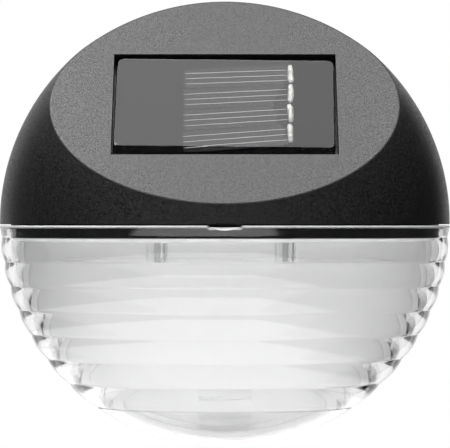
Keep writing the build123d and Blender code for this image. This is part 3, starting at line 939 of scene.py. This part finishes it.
@dataclass
class Lens:
    """Clear half dome with level ribs, which slides over the cap's tub."""

    wall: float = 2.2 * MM
    rim_depth: float = 18.5 * MM
    rib_top: float = -3.5 * MM
    rib_count: int = 7
    rib_groove: float = 0.43 * MM
    absorption: float = 12.0
    foot_inset: float = 0.2 * MM
    foot_height: float = 9.85 * MM
    notch_width: float = 8.2 * MM
    notch_height: float = 1.2 * MM
    notch_cuts: tuple[float, float] = (0.5 * MM, 1.5 * MM)
    notch_crown: float = 0.4 * MM
    edge_height: float = 0.5 * MM
    edge_sink: float = 0.04 * MM
    edge_columns: int = 700
    tongue_width: float = 12.9 * MM
    tongue_height: float = 9.3 * MM
    tongue_back: float = 17.4 * MM
    tongue_front: float = 19.2 * MM
    edge_powers: tuple[float, float] = (0.3, 0.5)
    edge_points: int = 25
    press_rate: float = 8.0
    slope_least: float = 0.05 * MM
    top_rows: int = 5
    rib_rows: int = 14
    foot_rows: int = 26
    foot_step: float = 0.02 * MM
    side_columns: int = 6

    def __post_init__(self) -> None:
        """Takes the outer sizes from the solids."""
        low, high = node_box("cap")
        self.radius = high[0]
        self.reach = -low[1] - self.rim_depth
        self.top = node_box("lens")[1][2]
        half = self.notch_width / 2
        self.notch_radius = (self.notch_height**2 + half**2) / (2 * self.notch_height)

    def section_rows(
        self, heights: np.ndarray, insets: np.ndarray, arc_columns: int = 150
    ) -> np.ndarray:
        """Level sections of the round front form: straight sides, then half an ellipse.

        At height z the half width is the root of (R - inset)^2 - z^2, and the ellipse reaches
        forwards by the same share of the dome's depth.

        Args:
            heights: z of each row.
            insets: how far each row is drawn in from the outer form.
            arc_columns: points along the half ellipse.

        Returns:
            An array of rows by columns by three, from the left back edge to the right one.
        """
        radius = self.radius - insets
        half = np.sqrt(np.maximum(radius**2 - heights**2, 0.0))[:, None]
        front = (self.reach - insets)[:, None] * half / radius[:, None]
        side = np.linspace(0.0, 1.0, self.side_columns, endpoint=False)
        angle = np.linspace(pi, 0.0, arc_columns)
        ones = np.ones((len(heights), 1))
        x = np.hstack([-half * np.ones_like(side), half * np.cos(angle), half * np.ones_like(side)])
        depth = np.hstack(
            [
                ones * side * self.rim_depth,
                self.rim_depth + front * np.sin(angle),
                ones * side[::-1] * self.rim_depth,
            ]
        )
        z = np.broadcast_to(heights[:, None], x.shape)
        return np.stack([x, -depth, z], axis=2)

    def rows(self) -> tuple[np.ndarray, np.ndarray]:
        """Heights and insets down the outside: top strip, ribs, plain foot.

        A rib's inset is its groove times (2 s - 1)^2, where s runs from 0 to 1 down the rib. The
        foot's heights follow the sine, so that its rows lie evenly along the round form, and its
        first row stands a small step below the last rib.

        Returns:
            The heights and the insets.
        """
        last_rib = self.foot_height - self.radius
        share = np.linspace(0.0, 1.0, self.rib_count * self.rib_rows + 1)
        rib_heights = self.rib_top + (last_rib - self.rib_top) * share
        within = (share * self.rib_count) % 1.0
        rib_insets = self.rib_groove * (2 * within - 1) ** 2
        clear_top = self.top - self.edge_height + self.edge_sink
        top_heights = np.linspace(clear_top, self.rib_top, self.top_rows)[:-1]
        top_insets = np.linspace(0.0, self.rib_groove, self.top_rows)[:-1]
        foot_radius = self.radius - self.foot_inset
        start = asin(-last_rib / foot_radius)
        turn = np.linspace(start, pi / 2, self.foot_rows)
        foot_heights = -foot_radius * np.sin(turn)
        foot_heights[0] -= self.foot_step
        heights = np.concatenate([top_heights, rib_heights, foot_heights])
        foot_insets = np.full(self.foot_rows, self.foot_inset)
        return heights, np.concatenate([top_insets, rib_insets, foot_insets])

    def notch_tool(self) -> bpy.types.Mesh:
        """Disc that cuts the pry notch: an arc of the notch's width and height, on edge.

        Its back end is a slope, which goes from the first cut at the arc's foot to the second
        at the lens's top edge.

        Returns:
            A closed cylinder along y with a slanting back.
        """
        foot = self.top - self.notch_height
        turn = np.linspace(0.0, 2 * pi, 181)
        x, rise = self.notch_radius * np.cos(turn), self.notch_radius * np.sin(turn)
        first, last = self.notch_cuts
        front = self.rim_depth + self.reach
        slope = (last - first) / self.notch_height
        rows = []
        for share, slanting in ((0.0, True), (1.0, True), (1.0, False), (0.0, False)):
            height = foot + self.notch_radius + share * rise
            back = first + slope * (height - foot) if slanting else np.full_like(x, -last)
            rows.append(np.stack([share * x, back - front, height], 1))
        return Shell().grid(np.stack(rows)).mesh("notch_tool")

    def painted_highlight_edge(self) -> bpy.types.Mesh:
        """Pale matt bars on the lens's top edge and on the slope of its pry notch in front of it: a
        painted highlight.

        Each is a bar that follows the level section, and its own section is a superellipse.
        Behind the notch the edge is pressed back by the notch's second cut and down by its crown.
        The slope's section is stretched from the notch's arc, at the root of r^2 - x^2, up to the
        crown, and leans back as the notch does.

        Returns:
            Two closed bars in one mesh.
        """
        across, along = superellipse(np.linspace(0.0, 2 * pi, self.edge_points), self.edge_powers)
        middle = self.top - self.edge_height / 2
        insets = self.wall / 2 * (1 + across)
        edge = self.section_rows(
            middle + self.edge_height / 2 * along, insets, self.edge_columns
        )
        within = np.clip(1 - (2 * edge[:, :, 0] / self.notch_width) ** 2, 0.0, 1.0)
        press = np.minimum(1.0, self.press_rate * within)
        edge[:, :, 1] += self.notch_cuts[1] * press * (1 - insets / self.wall)[:, None]
        edge[:, :, 2] -= self.notch_crown * press
        insets = self.notch_cuts[0] / 2 * (1 + across)
        slope = self.section_rows(np.full_like(across, middle), insets, self.edge_columns)
        slope = slope[:, np.abs(slope[0, :, 0]) < self.notch_width / 2]
        lift = self.notch_radius - self.notch_height
        dip = np.sqrt(self.notch_radius**2 - slope[:, :, 0] ** 2) - lift
        height = np.maximum(dip - self.notch_crown, self.slope_least)
        reach = height * (1 + along[:, None]) / 2
        slope[:, :, 2] = self.top - dip + reach
        slope[:, :, 1] += reach * (self.notch_cuts[1] - self.notch_cuts[0]) / self.notch_height
        return Shell().bar(edge).bar(slope).mesh("lens_edge", sharp_angle=50.0)

    def tongue_tool(self) -> bpy.types.Mesh:
        """Flat tongue inside the foot that stands in front of the reflector's edge.

        Returns:
            A closed block.
        """
        shell = Shell()
        half = self.tongue_width / 2
        slab(
            (-half, -self.tongue_front, -self.radius + self.wall / 2),
            (half, -self.tongue_back, self.tongue_height + self.wall - self.radius),
            shell,
        )
        return shell.mesh("tongue_tool")

    def build(self) -> None:
        """Builds the ribbed outside, the smooth inside and the edges between them."""
        heights, insets = self.rows()
        outside = self.section_rows(heights, insets)
        share = (heights - heights[0]) / (heights[-1] - heights[0])
        inner_heights = heights[0] + share * (self.wall - self.radius - heights[0])
        inside = self.section_rows(inner_heights, np.full_like(heights, self.wall))
        shell = Shell().grid(outside).grid(inside, flip=True)
        shell.grid(np.stack([inside[0], outside[0]]))
        for column in (0, -1):
            shell.grid(np.stack([outside[:, column], inside[:, column]]), flip=column == 0)
        finish = ClearPlastic("lens_clear_plastic", absorption=self.absorption)
        lens = piece(shell.mesh("lens_shell"), Body.LENS, finish, "lens_clear", "lens")
        carve(lens, self.notch_tool(), "DIFFERENCE")
        carve(lens, self.tongue_tool(), "UNION")
        # The pale opaque colour on the clear lens's top edge and notch slope is a painted
        # highlight.
        painted_highlight_finish = MouldedPlastic(
            "lens_edge_painted_highlight",
            colour=(0.74, 0.745, 0.745),
            roughness=0.5,
            grain_size=0.15 * MM,
            grain_depth=0.01 * MM,
        )
        piece(self.painted_highlight_edge(), Body.LENS, painted_highlight_finish, "lens_clear")


@dataclass
class SolarPanel:
    """Panel glued into the sloping face: board, cell strips, solder and a pillow of resin."""

    tilt: float = 38.66
    twist: float = -0.8
    cell_tilt: float = 4.9
    cell_fan: float = 0.9
    width: float = 52.4 * MM
    length: float = 30.2 * MM
    resin_thickness: float = 1.5 * MM
    overhang: float = 0.25 * MM
    edge_widths: tuple[float, float, float, float] = (0.3 * MM, 0.5 * MM, 0.25 * MM, 2.6 * MM)
    corner_rounds: tuple[float, float] = (0.6 * MM, 1.6 * MM)
    crown: float = 0.06 * MM
    slope_power: float = 1.35
    resin_foot: float = -0.05 * MM
    resin_lip: float = 0.25 * MM
    edge_rings: int = 16
    top_rings: int = 24
    cell_thickness: float = 0.3 * MM
    substrate_thickness: float = 1.2 * MM
    cell_width: float = 25.0 * MM
    cell_pitch: float = 6.5 * MM
    cell_count: int = 4
    cell_offset: tuple[float, float] = (2.7 * MM, 0.1 * MM)
    fingers: int = 3
    finger_pitch: float = 1.68 * MM
    finger_width: float = 0.13 * MM
    finger_height: float = 0.03 * MM
    finger_overrun: float = 0.2 * MM
    finger_wobble: float = 0.03 * MM
    finger_sink: float = 0.02 * MM
    finger_points: tuple[int, int] = (40, 7)
    taper_power: int = 24
    wobble_rates: Point = (9.0, 2.3, 40.0)
    tab_width: float = 1.3 * MM
    tab_length: float = 5.9 * MM
    tab_rise: float = 0.45 * MM
    lump_foot: float = 0.1 * MM
    lump_height: float = 0.55 * MM
    lump_power: float = 0.6
    lump_share: float = 0.56
    lump_wave: float = 0.07
    lump_ripple: float = 0.1
    lump_lean: Point = (2.0, 3.0, 2.1)
    lump_points: tuple[int, int] = (49, 14)
    ripple_rates: tuple[float, float] = (1900.0, 2600.0)

    def __post_init__(self) -> None:
        """Sets up the panel's own axes on the board's upper face."""
        lean, turn = radians(self.tilt), radians(self.twist)
        self.normal = np.array([0.0, -cos(lean), sin(lean)])
        up = np.array([0.0, sin(lean), cos(lean)])
        across = np.array([1.0, 0.0, 0.0])
        self.across = across * cos(turn) + up * sin(turn)
        self.up = np.cross(self.normal, self.across)
        low, high = node_box("panel_substrate")
        self.origin = (low + high) / 2 + self.normal * self.substrate_thickness / 2

    def place(self, x: np.ndarray, y: np.ndarray, h: np.ndarray) -> np.ndarray:
        """Points on the panel: the origin plus x across, y up the slope and h along the normal.

        Args:
            x: distances across.
            y: distances up the slope.
            h: heights over the board.

        Returns:
            The points, with one more axis than the inputs.
        """
        parts = (x[..., None] * self.across, y[..., None] * self.up, h[..., None] * self.normal)
        return self.origin + sum(parts)

    def outline(self, share: float, count: int = 28) -> tuple[np.ndarray, np.ndarray]:
        """Rectangle with quarter-circle corners, drawn in from the board's edge.

        Each side moves in by a share of its own edge width, and the corners grow rounder with it.

        Args:
            share: 0 at the board's edge, 1 where the flat top begins.
            count: points on each corner.

        Returns:
            The closed outline's x and y.
        """
        right, top, left, bottom = (share * width for width in self.edge_widths)
        first, last = self.corner_rounds
        corner = first + share * (last - first)
        half_width, half_length = self.width / 2 + self.overhang, self.length / 2 + self.overhang
        x_right, x_left = half_width - right - corner, left + corner - half_width
        y_top, y_bottom = half_length - top - corner, bottom + corner - half_length
        angle = np.concatenate([np.linspace(0, pi / 2, count) + pi / 2 * k for k in range(4)])
        x = np.repeat([x_right, x_left, x_left, x_right], count) + corner * np.cos(angle)
        y = np.repeat([y_top, y_top, y_bottom, y_bottom], count) + corner * np.sin(angle)
        return np.append(x, x[0]), np.append(y, y[0])

    def resin(self) -> bpy.types.Mesh:
        """Pillow of resin: it falls off to its edges in a slope, and its top is a shallow dome.

        Over the edge, the height at share s of the way in goes from the lip to the thickness by
        1 - (1 - s)^p with p the slope's power. The top rises by the crown times (1 - q^2)^2, where
        q is the share of the way out from the middle. The rings crowd together between the two.

        Returns:
            The closed mesh.
        """
        shares = 1 - np.linspace(1.0, 0.0, self.edge_rings) ** 1.5
        rise = (self.resin_thickness - self.resin_lip) * (1 - (1 - shares) ** self.slope_power)
        levels = np.append(self.resin_foot, self.resin_lip + rise)
        rings = []
        for share, level in zip(np.append(0.0, shares), levels):
            x, y = self.outline(share)
            rings.append(self.place(x, y, np.full_like(x, level)))
        x, y = self.outline(1.0)
        for out in 1 - np.linspace(0.0, 1.0, self.top_rings)[1:] ** 3:
            level = self.resin_thickness + self.crown * (1 - out**2) ** 2
            rings.append(self.place(x * out, y * out, np.full_like(x, level)))
        x, y = self.outline(0.0)
        foot = np.full_like(x, self.resin_foot)
        base = [self.place(x * out, y * out, foot) for out in (1.0, 0.0)]
        shell = Shell().grid(np.stack(rings)).grid(np.stack(base), flip=True)
        return shell.mesh("resin_pillow", sharp_angle=60.0)

    def strip_frames(self) -> Iterable[tuple[float, float, float]]:
        """Centre and tilt of each cell strip.

        Returns:
            x, y and the tilt in radians, from the lowest strip up.
        """
        for strip in range(self.cell_count):
            step = strip - (self.cell_count - 1) / 2
            lean = radians(self.cell_tilt - self.cell_fan * step)
            yield self.cell_offset[0], self.cell_offset[1] + self.cell_pitch * step, lean

    def finger_lines(self) -> bpy.types.Mesh:
        """Printed silver lines: long low ridges with an elliptic section, three on each strip.

        Each line's ends taper by the root of 1 - u^p, with p the taper's power and u from -1 to 1
        along the line. A sine of u, the line's number and the strip's place bends it a little.

        Returns:
            One mesh with all the lines.
        """
        shell = Shell()
        along = np.linspace(-1.0, 1.0, self.finger_points[0])[None, :]
        around = np.linspace(0.0, pi, self.finger_points[1])[:, None]
        taper = np.sqrt(np.maximum(1 - np.abs(along) ** self.taper_power, 0.0))
        rate_u, rate_line, rate_strip = self.wobble_rates
        for x0, y0, tilt in self.strip_frames():
            for line in range(self.fingers):
                offset = (line - (self.fingers - 1) / 2) * self.finger_pitch
                run = along * (self.cell_width / 2 + self.finger_overrun) * np.ones_like(around)
                bend = np.sin(rate_u * along + rate_line * line + rate_strip * y0 / MM)
                middle = offset + self.finger_wobble * bend
                side = middle - np.cos(around) * taper * self.finger_width / 2
                height = self.cell_thickness + np.sin(around) * taper * self.finger_height
                x = x0 + run * cos(tilt) - side * sin(tilt)
                y = y0 + run * sin(tilt) + side * cos(tilt)
                top = self.place(x, y, height * np.ones_like(run))
                flat = self.place(x, y, np.full_like(x, self.cell_thickness - self.finger_sink))
                shell.grid(top).grid(np.stack([flat[-1], flat[0]]))
                shell.grid(np.stack([top[0], flat[0]]), flip=True)
                shell.grid(np.stack([top[-1], flat[-1]]))
        return shell.mesh("finger_lines", sharp_angle=80.0)

    def solder_tabs(self) -> bpy.types.Mesh:
        """Lumps of solder at the strips' right ends, one over each tab.

        Each has a superellipse for its outline, and the root of 1 - q^2 for its height at share q
        of the way out, which two sines ripple. Lump n leans by a + b sin(c n) degrees, where a, b
        and c are lump_lean.

        Returns:
            One mesh with all the lumps.
        """
        shell = Shell()
        turn = np.linspace(0.0, 2 * pi, self.lump_points[0])[None, :]
        share = np.linspace(0.0, 1.0, self.lump_points[1])[:, None]
        lean_middle, lean_swing, lean_rate = self.lump_lean
        for step, (x0, y0, tilt) in enumerate(self.strip_frames()):
            reach = (self.cell_width + self.tab_width) / 2
            centre_x = x0 + reach * cos(tilt) - self.tab_rise * sin(tilt)
            centre_y = y0 + reach * sin(tilt) + self.tab_rise * cos(tilt)
            lean = radians(lean_middle + lean_swing * sin(lean_rate * step))
            edge = self.lump_share + self.lump_wave * np.sin(3 * turn + step)
            across, along = superellipse(turn, (self.lump_power, self.lump_power))
            u = share * across * self.tab_width * edge
            v = share * along * self.tab_length / 2
            rate_u, rate_v = self.ripple_rates
            ripple = 1 + self.lump_ripple * np.sin(rate_v * v + step) * np.cos(rate_u * u)
            height = self.lump_foot + self.lump_height * np.sqrt(1 - share**2) * ripple
            x = centre_x + u * cos(lean) - v * sin(lean)
            y = centre_y + u * sin(lean) + v * cos(lean)
            lump = self.place(x, y, height)
            shell.grid(lump, flip=True).lid(lump[-1], flip=True)
        return shell.mesh("solder_tabs", sharp_angle=60.0)

    def build(self) -> None:
        """Builds the resin, lines and solder, and dresses the board and cells."""
        resin = ClearPlastic("panel_resin_clear", tint=(0.95, 0.95, 0.95), ior=1.5, haze=0.0)
        tin = PlatedMetal("solder_tin", colour=(0.9, 0.89, 0.87), roughness=0.7)
        silver = MouldedPlastic(
            "silver_print",
            colour=(0.56, 0.545, 0.545),
            roughness=0.4,
            grain_size=0.08 * MM,
            grain_depth=0.004 * MM,
        )
        piece(self.resin(), Body.HOUSING, resin, "resin_clear", "panel_resin")
        piece(self.finger_lines(), Body.HOUSING, silver, "cell_silicon")
        piece(self.solder_tabs(), Body.HOUSING, tin, "tab_solder", "cell_tabs")
        dress(
            {
                "cell_strips": SiliconCell("cell_silicon_flakes"),
                "panel_substrate": MouldedPlastic(
                    "panel_board_black", colour=(0.004, 0.004, 0.0045), roughness=0.4, gloss=0.0
                ),
                "panel_adhesive": MouldedPlastic(
                    "adhesive_black_foam", colour=(0.01, 0.01, 0.01), roughness=0.85
                ),
            }
        )


@dataclass
class Lamp:
    """One clear 5 mm lamp that points down through the tub, with its lead frame inside."""

    side: Side
    plate_thickness: float = 0.45 * MM
    lead_width: float = 0.5 * MM
    straight: float = 2.2 * MM
    anvil: tuple[Point, ...] = ((-3.4, -1.2, -0.1), (-5.0, -0.5, 0.5), (-6.6, -0.4, 0.6))
    hook: tuple[Point, ...] = ((-3.4, 1.0, 1.5), (-4.8, 1.05, 1.45), (-6.2, 1.1, 1.4))

    def posts(self) -> list[np.ndarray]:
        """The two flat posts of the lead frame: an anvil that flares to its cup, and a hook.

        Both start as straight leads. The fields anvil and hook give the levels below, in mm.

        Returns:
            Two tables with a row per level from the top down: its height from the lamp's top, and
            the left and right edge's x from the lamp's middle.
        """
        middle, half = LEAD_SPREAD / 2, self.lead_width / 2
        left, right = middle - half, middle + half
        tables = []
        for edges, shaped in (((-right, -left), self.anvil), ((left, right), self.hook)):
            plain = [(0.0, *edges), (-self.straight, *edges)]
            tables.append(np.vstack([plain, np.array(shaped) * MM]))
        return tables

    def build(self) -> None:
        """Builds the lead frame as flat plates and dresses the lamp."""
        side = self.side.name.lower()
        low, high = node_box(f"led_{side}")
        x, y = (low + high)[:2] / 2
        front, back = y - self.plate_thickness / 2, y + self.plate_thickness / 2
        shell = Shell()
        for levels, left, right in (table.T for table in self.posts()):
            loop = ((left, front), (right, front), (right, back), (left, back), (left, front))
            wall = np.stack(
                [np.column_stack([x + e, np.full(len(e), d), high[2] + levels]) for e, d in loop]
            )
            shell.grid(wall)
            for level, flip in ((0, False), (-1, True)):
                shell.grid(np.stack([wall[[0, 1], level], wall[[3, 2], level]]), flip)
        frame_finish = MouldedPlastic(
            "lamp_frame_silver",
            colour=(0.9, 0.9, 0.89),
            roughness=0.35,
            grain_size=0.2 * MM,
            grain_depth=0.004 * MM,
        )
        piece(shell.mesh(f"led_frame_{side}"), Body.HOUSING, frame_finish, "lead_tin")
        epoxy = ClearPlastic("lamp_epoxy_clear", tint=(0.97, 0.98, 0.98), ior=1.53)
        dress({f"led_{side}": epoxy})


@dataclass
class Housing:
    """Cap, reflector and back plate, with their screws."""

    lens: Lens
    lip_top: float = -3.75 * MM
    lip_bottom: float = -4.85 * MM
    lip_insets: tuple[float, float] = (2.75 * MM, 5.3 * MM)
    lip_back: float = 7.5 * MM
    lip_powers: tuple[float, float] = (0.4, 0.3)
    lip_points: int = 25

    def ceiling_lip(self) -> bpy.types.Mesh:
        """Front edge of the reflector's ceiling, close behind the lens.

        A bar that follows the lens's level section, and whose own section is a superellipse.

        Returns:
            The closed bar.
        """
        across, along = superellipse(np.linspace(0.0, 2 * pi, self.lip_points), self.lip_powers)
        first, last = self.lip_insets
        heights = (self.lip_top + self.lip_bottom + (self.lip_top - self.lip_bottom) * along) / 2
        bar = self.lens.section_rows(heights, (first + last + (last - first) * across) / 2)
        bar = bar[:, -bar[0, :, 1] > self.lip_back]
        return Shell().bar(bar).mesh("reflector_lip", sharp_angle=50.0)

    def build(self) -> None:
        """Builds the reflector's lip and dresses the cap, the reflector and the back plate."""
        white = MouldedPlastic(
            "reflector_white",
            colour=(0.95, 0.952, 0.953),
            roughness=0.3,
            grain_size=1.5 * MM,
            grain_depth=0.004 * MM,
            drift=0.012,
        )
        piece(self.ceiling_lip(), Body.HOUSING, white, "reflector_white")
        dress(
            {
                "cap": MouldedPlastic(
                    "cap_grained_black",
                    colour=(0.0045, 0.0045, 0.0046),
                    roughness=0.46,
                    grain_size=0.3 * MM,
                    grain_depth=0.012 * MM,
                    speckle=0.8,
                    dust=0.1,
                    gloss=0.5,
                    sheen_swing=0.15,
                ),
                "reflector": white,
                "back_plate": MouldedPlastic(
                    "plate_satin_black",
                    colour=(0.016, 0.016, 0.017),
                    roughness=0.4,
                    grain_size=0.25 * MM,
                    grain_depth=0.008 * MM,
                    speckle=0.2,
                    dust=0.1,
                ),
                "back_screws": PlatedMetal("screw_steel"),
            }
        )


class Electronics:
    """Board, its parts and the leads, all inside the cap."""

    def build(self) -> None:
        """Dresses the board and what it carries."""
        lamps = [sum(node_box(f"led_{side.name.lower()}")) / 2 for side in Side]
        spots = [(float(x), float(y)) for x, y, _ in lamps]
        ends = (-LEAD_SPREAD / 2, LEAD_SPREAD / 2)
        holes = tuple((x + end, y) for x, y in spots for end in ends)
        switch_middle = float(sum(node_box("switch_body"))[0] / 2)
        coil = PlatedMetal("coil_ferrite_grey", colour=(0.05, 0.05, 0.055), roughness=0.5)
        dress(
            {
                "circuit_board": CircuitLaminate("board_green_mask", holes=holes),
                "driver_chip": MouldedPlastic("chip_black_epoxy", roughness=0.55),
                "inductor": coil,
                "led_leads": PlatedMetal("lead_tin_plate", colour=(0.78, 0.78, 0.76)),
                "board_screws": PlatedMetal("screw_steel"),
                "panel_leads": WirePair("panel_wire_pair"),
                "battery_leads": WirePair("battery_wire_pair"),
                "switch_leads": WirePair("switch_wire_pair", divide=switch_middle),
                "switch_body": PlatedMetal("switch_steel", roughness=0.32),
                "switch_slider": MouldedPlastic("slider_black", colour=(0.02, 0.02, 0.02)),
            }
        )


@dataclass
class BatteryBay:
    """Battery, its contacts, and the door with its gasket and screws."""

    nub_length: float = 0.8 * MM

    def build(self) -> None:
        """Dresses the battery bay."""
        low, high = node_box("battery")
        nickel = PlatedMetal("contact_nickel", colour=(0.7, 0.68, 0.63), roughness=0.22)
        dress(
            {
                "battery": BatterySleeve(
                    "battery_sleeve",
                    foot=float(low[0]),
                    shoulder=float(high[0]) - self.nub_length,
                ),
                "contact_plate": nickel,
                "contact_spring": nickel,
                "door_gasket": MouldedPlastic(
                    "gasket_foam_rubber",
                    colour=(0.025, 0.025, 0.026),
                    roughness=0.85,
                    grain_size=0.2 * MM,
                    grain_depth=0.03 * MM,
                ),
                "battery_door": MouldedPlastic(
                    "door_satin_black",
                    colour=(0.018, 0.018, 0.019),
                    roughness=0.42,
                    grain_size=0.25 * MM,
                    speckle=0.2,
                    dust=0.1,
                ),
                "door_screws": PlatedMetal("screw_steel"),
            }
        )


# ---------------------------------------------------------------- studio


@dataclass(frozen=True)
class Softbox:
    """Rectangular soft lamp that points at the light, with its width level."""

    name: str
    place: Point
    size: tuple[float, float]
    radiance: float

    def build(self) -> None:
        """Hangs the lamp up. Its energy is its brightness as seen times pi times its area."""
        width, height = self.size
        lamp = bpy.data.lights.new(self.name, "AREA")
        lamp.shape = "RECTANGLE"
        lamp.size, lamp.size_y = width, height
        lamp.energy = self.radiance * pi * width * height
        holder = bpy.data.objects.new(self.name, lamp)
        bpy.context.scene.collection.objects.link(holder)
        outward = Vector(self.place).normalized()
        across = (Vector((1.0, 0.0, 0.0)) - outward.x * outward).normalized()
        axes = Matrix((across, outward.cross(across), outward)).transposed()
        holder.location = self.place
        holder.rotation_euler = axes.to_euler()


SOFTBOXES = (
    Softbox("overhead_left", (-0.34, -0.2, 0.88), (0.44, 0.7), 11.6),
    Softbox("overhead_middle_left", (-0.043, -0.2, 0.9), (0.16, 0.7), 2.3),
    Softbox("overhead_middle_right", (0.079, -0.2, 0.9), (0.084, 0.7), 1.75),
    Softbox("overhead_right", (0.28, -0.2, 0.89), (0.32, 0.7), 7.6),
    Softbox("front_softbox", (0.0, -1.45, 0.05), (2.0, 0.6), 3.4),
    Softbox("high_front_softbox", (0.0, -1.25, 0.9), (2.0, 0.5), 9.5),
)


@dataclass
class Studio:
    """Pale floor, soft lamps, white surroundings and the camera."""

    floor_height: float = -0.14
    floor_centre: tuple[float, float] = (-0.045, -0.15)
    floor_size: tuple[float, float] = (0.33, 0.9)
    floor_fade: float = 0.03
    floor_tone: float = 0.8
    floor_glow: float = 0.9
    camera_distance: float = 0.65
    camera_lens: float = 206.4
    shift: tuple[float, float] = (0.0004, -0.0022)
    room_light: float = 0.12
    card_distance: float = 1.1
    card_heights: tuple[float, float] = (-1.4, 1.7)
    card_reach: tuple[float, float] = (-116.0, 130.0)
    card_tone: float = 0.02
    card_glow: float = 0.6
    card_columns: int = 49
    light_bounces: int = 32

    @staticmethod
    def staged(name: str, points: np.ndarray) -> tuple[bpy.types.Object, NodeSheet]:
        """Makes a sheet of the studio, which isn't part of the light.

        Args:
            name: the sheet's name.
            points: its grid.

        Returns:
            The sheet's object, and its material's empty tree to draw in.
        """
        mesh = Shell().grid(points).mesh(name)
        obj = bpy.data.objects.new(name, mesh)
        bpy.context.scene.collection.objects.link(obj)
        material = bpy.data.materials.new(f"{name}_look")
        material.use_nodes = True
        mesh.materials.append(material)
        return obj, NodeSheet(material.node_tree)

    def floor(self) -> None:
        """Pale sheet that serves as the floor, with soft edges and a glow in outside mirrors."""
        half_x, half_y = self.floor_size[0] / 2, self.floor_size[1] / 2
        x = self.floor_centre[0] + np.array([[-half_x, half_x], [-half_x, half_x]])
        y = self.floor_centre[1] + np.array([[-half_y, -half_y], [half_y, half_y]])
        points = np.stack([x, y, np.full_like(x, self.floor_height)], axis=2)
        _, sheet = self.staged("studio_floor", points)
        parts = sheet.add("SeparateXYZ", {0: sheet.place((*self.floor_centre, 0.0))})
        edges = []
        for axis, half in (("X", half_x), ("Y", half_y)):
            out = sheet.sum_up("ABSOLUTE", parts.outputs[axis])
            edges.append(sheet.spread(out, half - self.floor_fade, half, 1.0, 0.0))
        path = sheet.add("LightPath")
        outside = sheet.sum_up("SUBTRACT", 1.0, path.outputs["Is Transmission Ray"])
        glow = sheet.times(path.outputs["Is Glossy Ray"], outside, self.floor_glow)
        shader = sheet.add(
            "BsdfPrincipled",
            {
                "Base Color": (self.floor_tone,) * 3,
                "Roughness": 0.8,
                "Alpha": sheet.times(*edges),
                "Emission Color": (1.0, 1.0, 1.0),
                "Emission Strength": glow,
            },
        )
        sheet.feed(sheet.add("OutputMaterial"), "Surface", shader.outputs[0])

    def dark_card(self) -> None:
        """Dark sheet bent round the camera's side of the room, which only reflections show.

        It is part of a cylinder about the upright line through the light. Light on its way to the
        white bowl passes it, and rays that only ran inside the lens's wall see it pale.
        """
        turn = np.radians(np.linspace(*self.card_reach, self.card_columns))[None, :]
        z = np.array(self.card_heights)[:, None]
        x, y = self.card_distance * np.sin(turn), -self.card_distance * np.cos(turn)
        points = np.stack([x * np.ones_like(z), y * np.ones_like(z), z * np.ones_like(x)], axis=2)
        card, sheet = self.staged("studio_dark_card", points)
        card.visible_camera = card.visible_diffuse = False
        path = sheet.add("LightPath")
        through = path.outputs["Is Transmission Ray"]
        scattered = sheet.sum_up("GREATER_THAN", path.outputs["Diffuse Depth"], 0.5)
        shallow = sheet.sum_up("LESS_THAN", path.outputs["Transmission Depth"], 3.5)
        repeated = sheet.sum_up("GREATER_THAN", path.outputs["Glossy Depth"], 1.5)
        in_wall = sheet.times(through, shallow, repeated)
        glow = sheet.spread(in_wall, 0.0, 1.0, self.card_tone, self.card_glow)
        dark = sheet.add("Emission", {"Color": (1.0, 1.0, 1.0), "Strength": glow}).outputs[0]
        clear = sheet.add("BsdfTransparent").outputs[0]
        mixed = sheet.add("MixShader", {0: sheet.times(through, scattered), 1: dark, 2: clear})
        sheet.feed(sheet.add("OutputMaterial"), "Surface", mixed.outputs[0])

    def surroundings(self) -> None:
        """World that is white to the camera and in reflections, and soft grey as light."""
        world = bpy.data.worlds.new("white_room")
        bpy.context.scene.world = world
        world.use_nodes = True
        sheet = NodeSheet(world.node_tree)
        path = sheet.add("LightPath")
        seen = sheet.sum_up("ADD", path.outputs["Is Camera Ray"], path.outputs["Is Glossy Ray"])
        seen = sheet.sum_up("ADD", seen, path.outputs["Is Transmission Ray"])
        seen = sheet.sum_up("MINIMUM", seen, 1.0)
        strength = sheet.add(
            "MapRange", {"Value": seen, "To Min": self.room_light, "To Max": 1.0}
        ).outputs["Result"]
        background = sheet.add("Background", {"Color": (1.0, 1.0, 1.0), "Strength": strength})
        output = sheet.add("OutputWorld")
        sheet.feed(output, "Surface", background.outputs[0])

    def camera(self) -> None:
        """Camera straight in front, level with the split between cap and lens."""
        data = bpy.data.cameras.new("front_camera")
        data.lens = self.camera_lens
        data.shift_x, data.shift_y = self.shift
        data.clip_start, data.clip_end = 0.01, 10.0
        camera = bpy.data.objects.new("front_camera", data)
        bpy.context.scene.collection.objects.link(camera)
        camera.location = (0.0, -self.camera_distance, 0.0)
        camera.rotation_euler = (pi / 2, 0.0, 0.0)
        bpy.context.scene.camera = camera

    def build(self) -> None:
        """Sets the studio up."""
        bpy.context.scene.view_settings.view_transform = "Standard"
        cycles = bpy.context.scene.cycles
        cycles.max_bounces = cycles.transmission_bounces = self.light_bounces
        cycles.glossy_bounces = self.light_bounces
        self.camera()
        self.floor()
        self.surroundings()
        self.dark_card()
        for softbox in SOFTBOXES:
            softbox.build()


def main() -> None:
    """Builds the studio and the light's parts in order."""
    logging.basicConfig(level=logging.INFO, format="%(name)s %(message)s")
    Studio().build()
    lens = Lens()
    Housing(lens).build()
    lens.build()
    SolarPanel().build()
    for side in Side:
        Lamp(side).build()
    Electronics().build()
    BatteryBay().build()


if __name__ == "__main__":
    main()
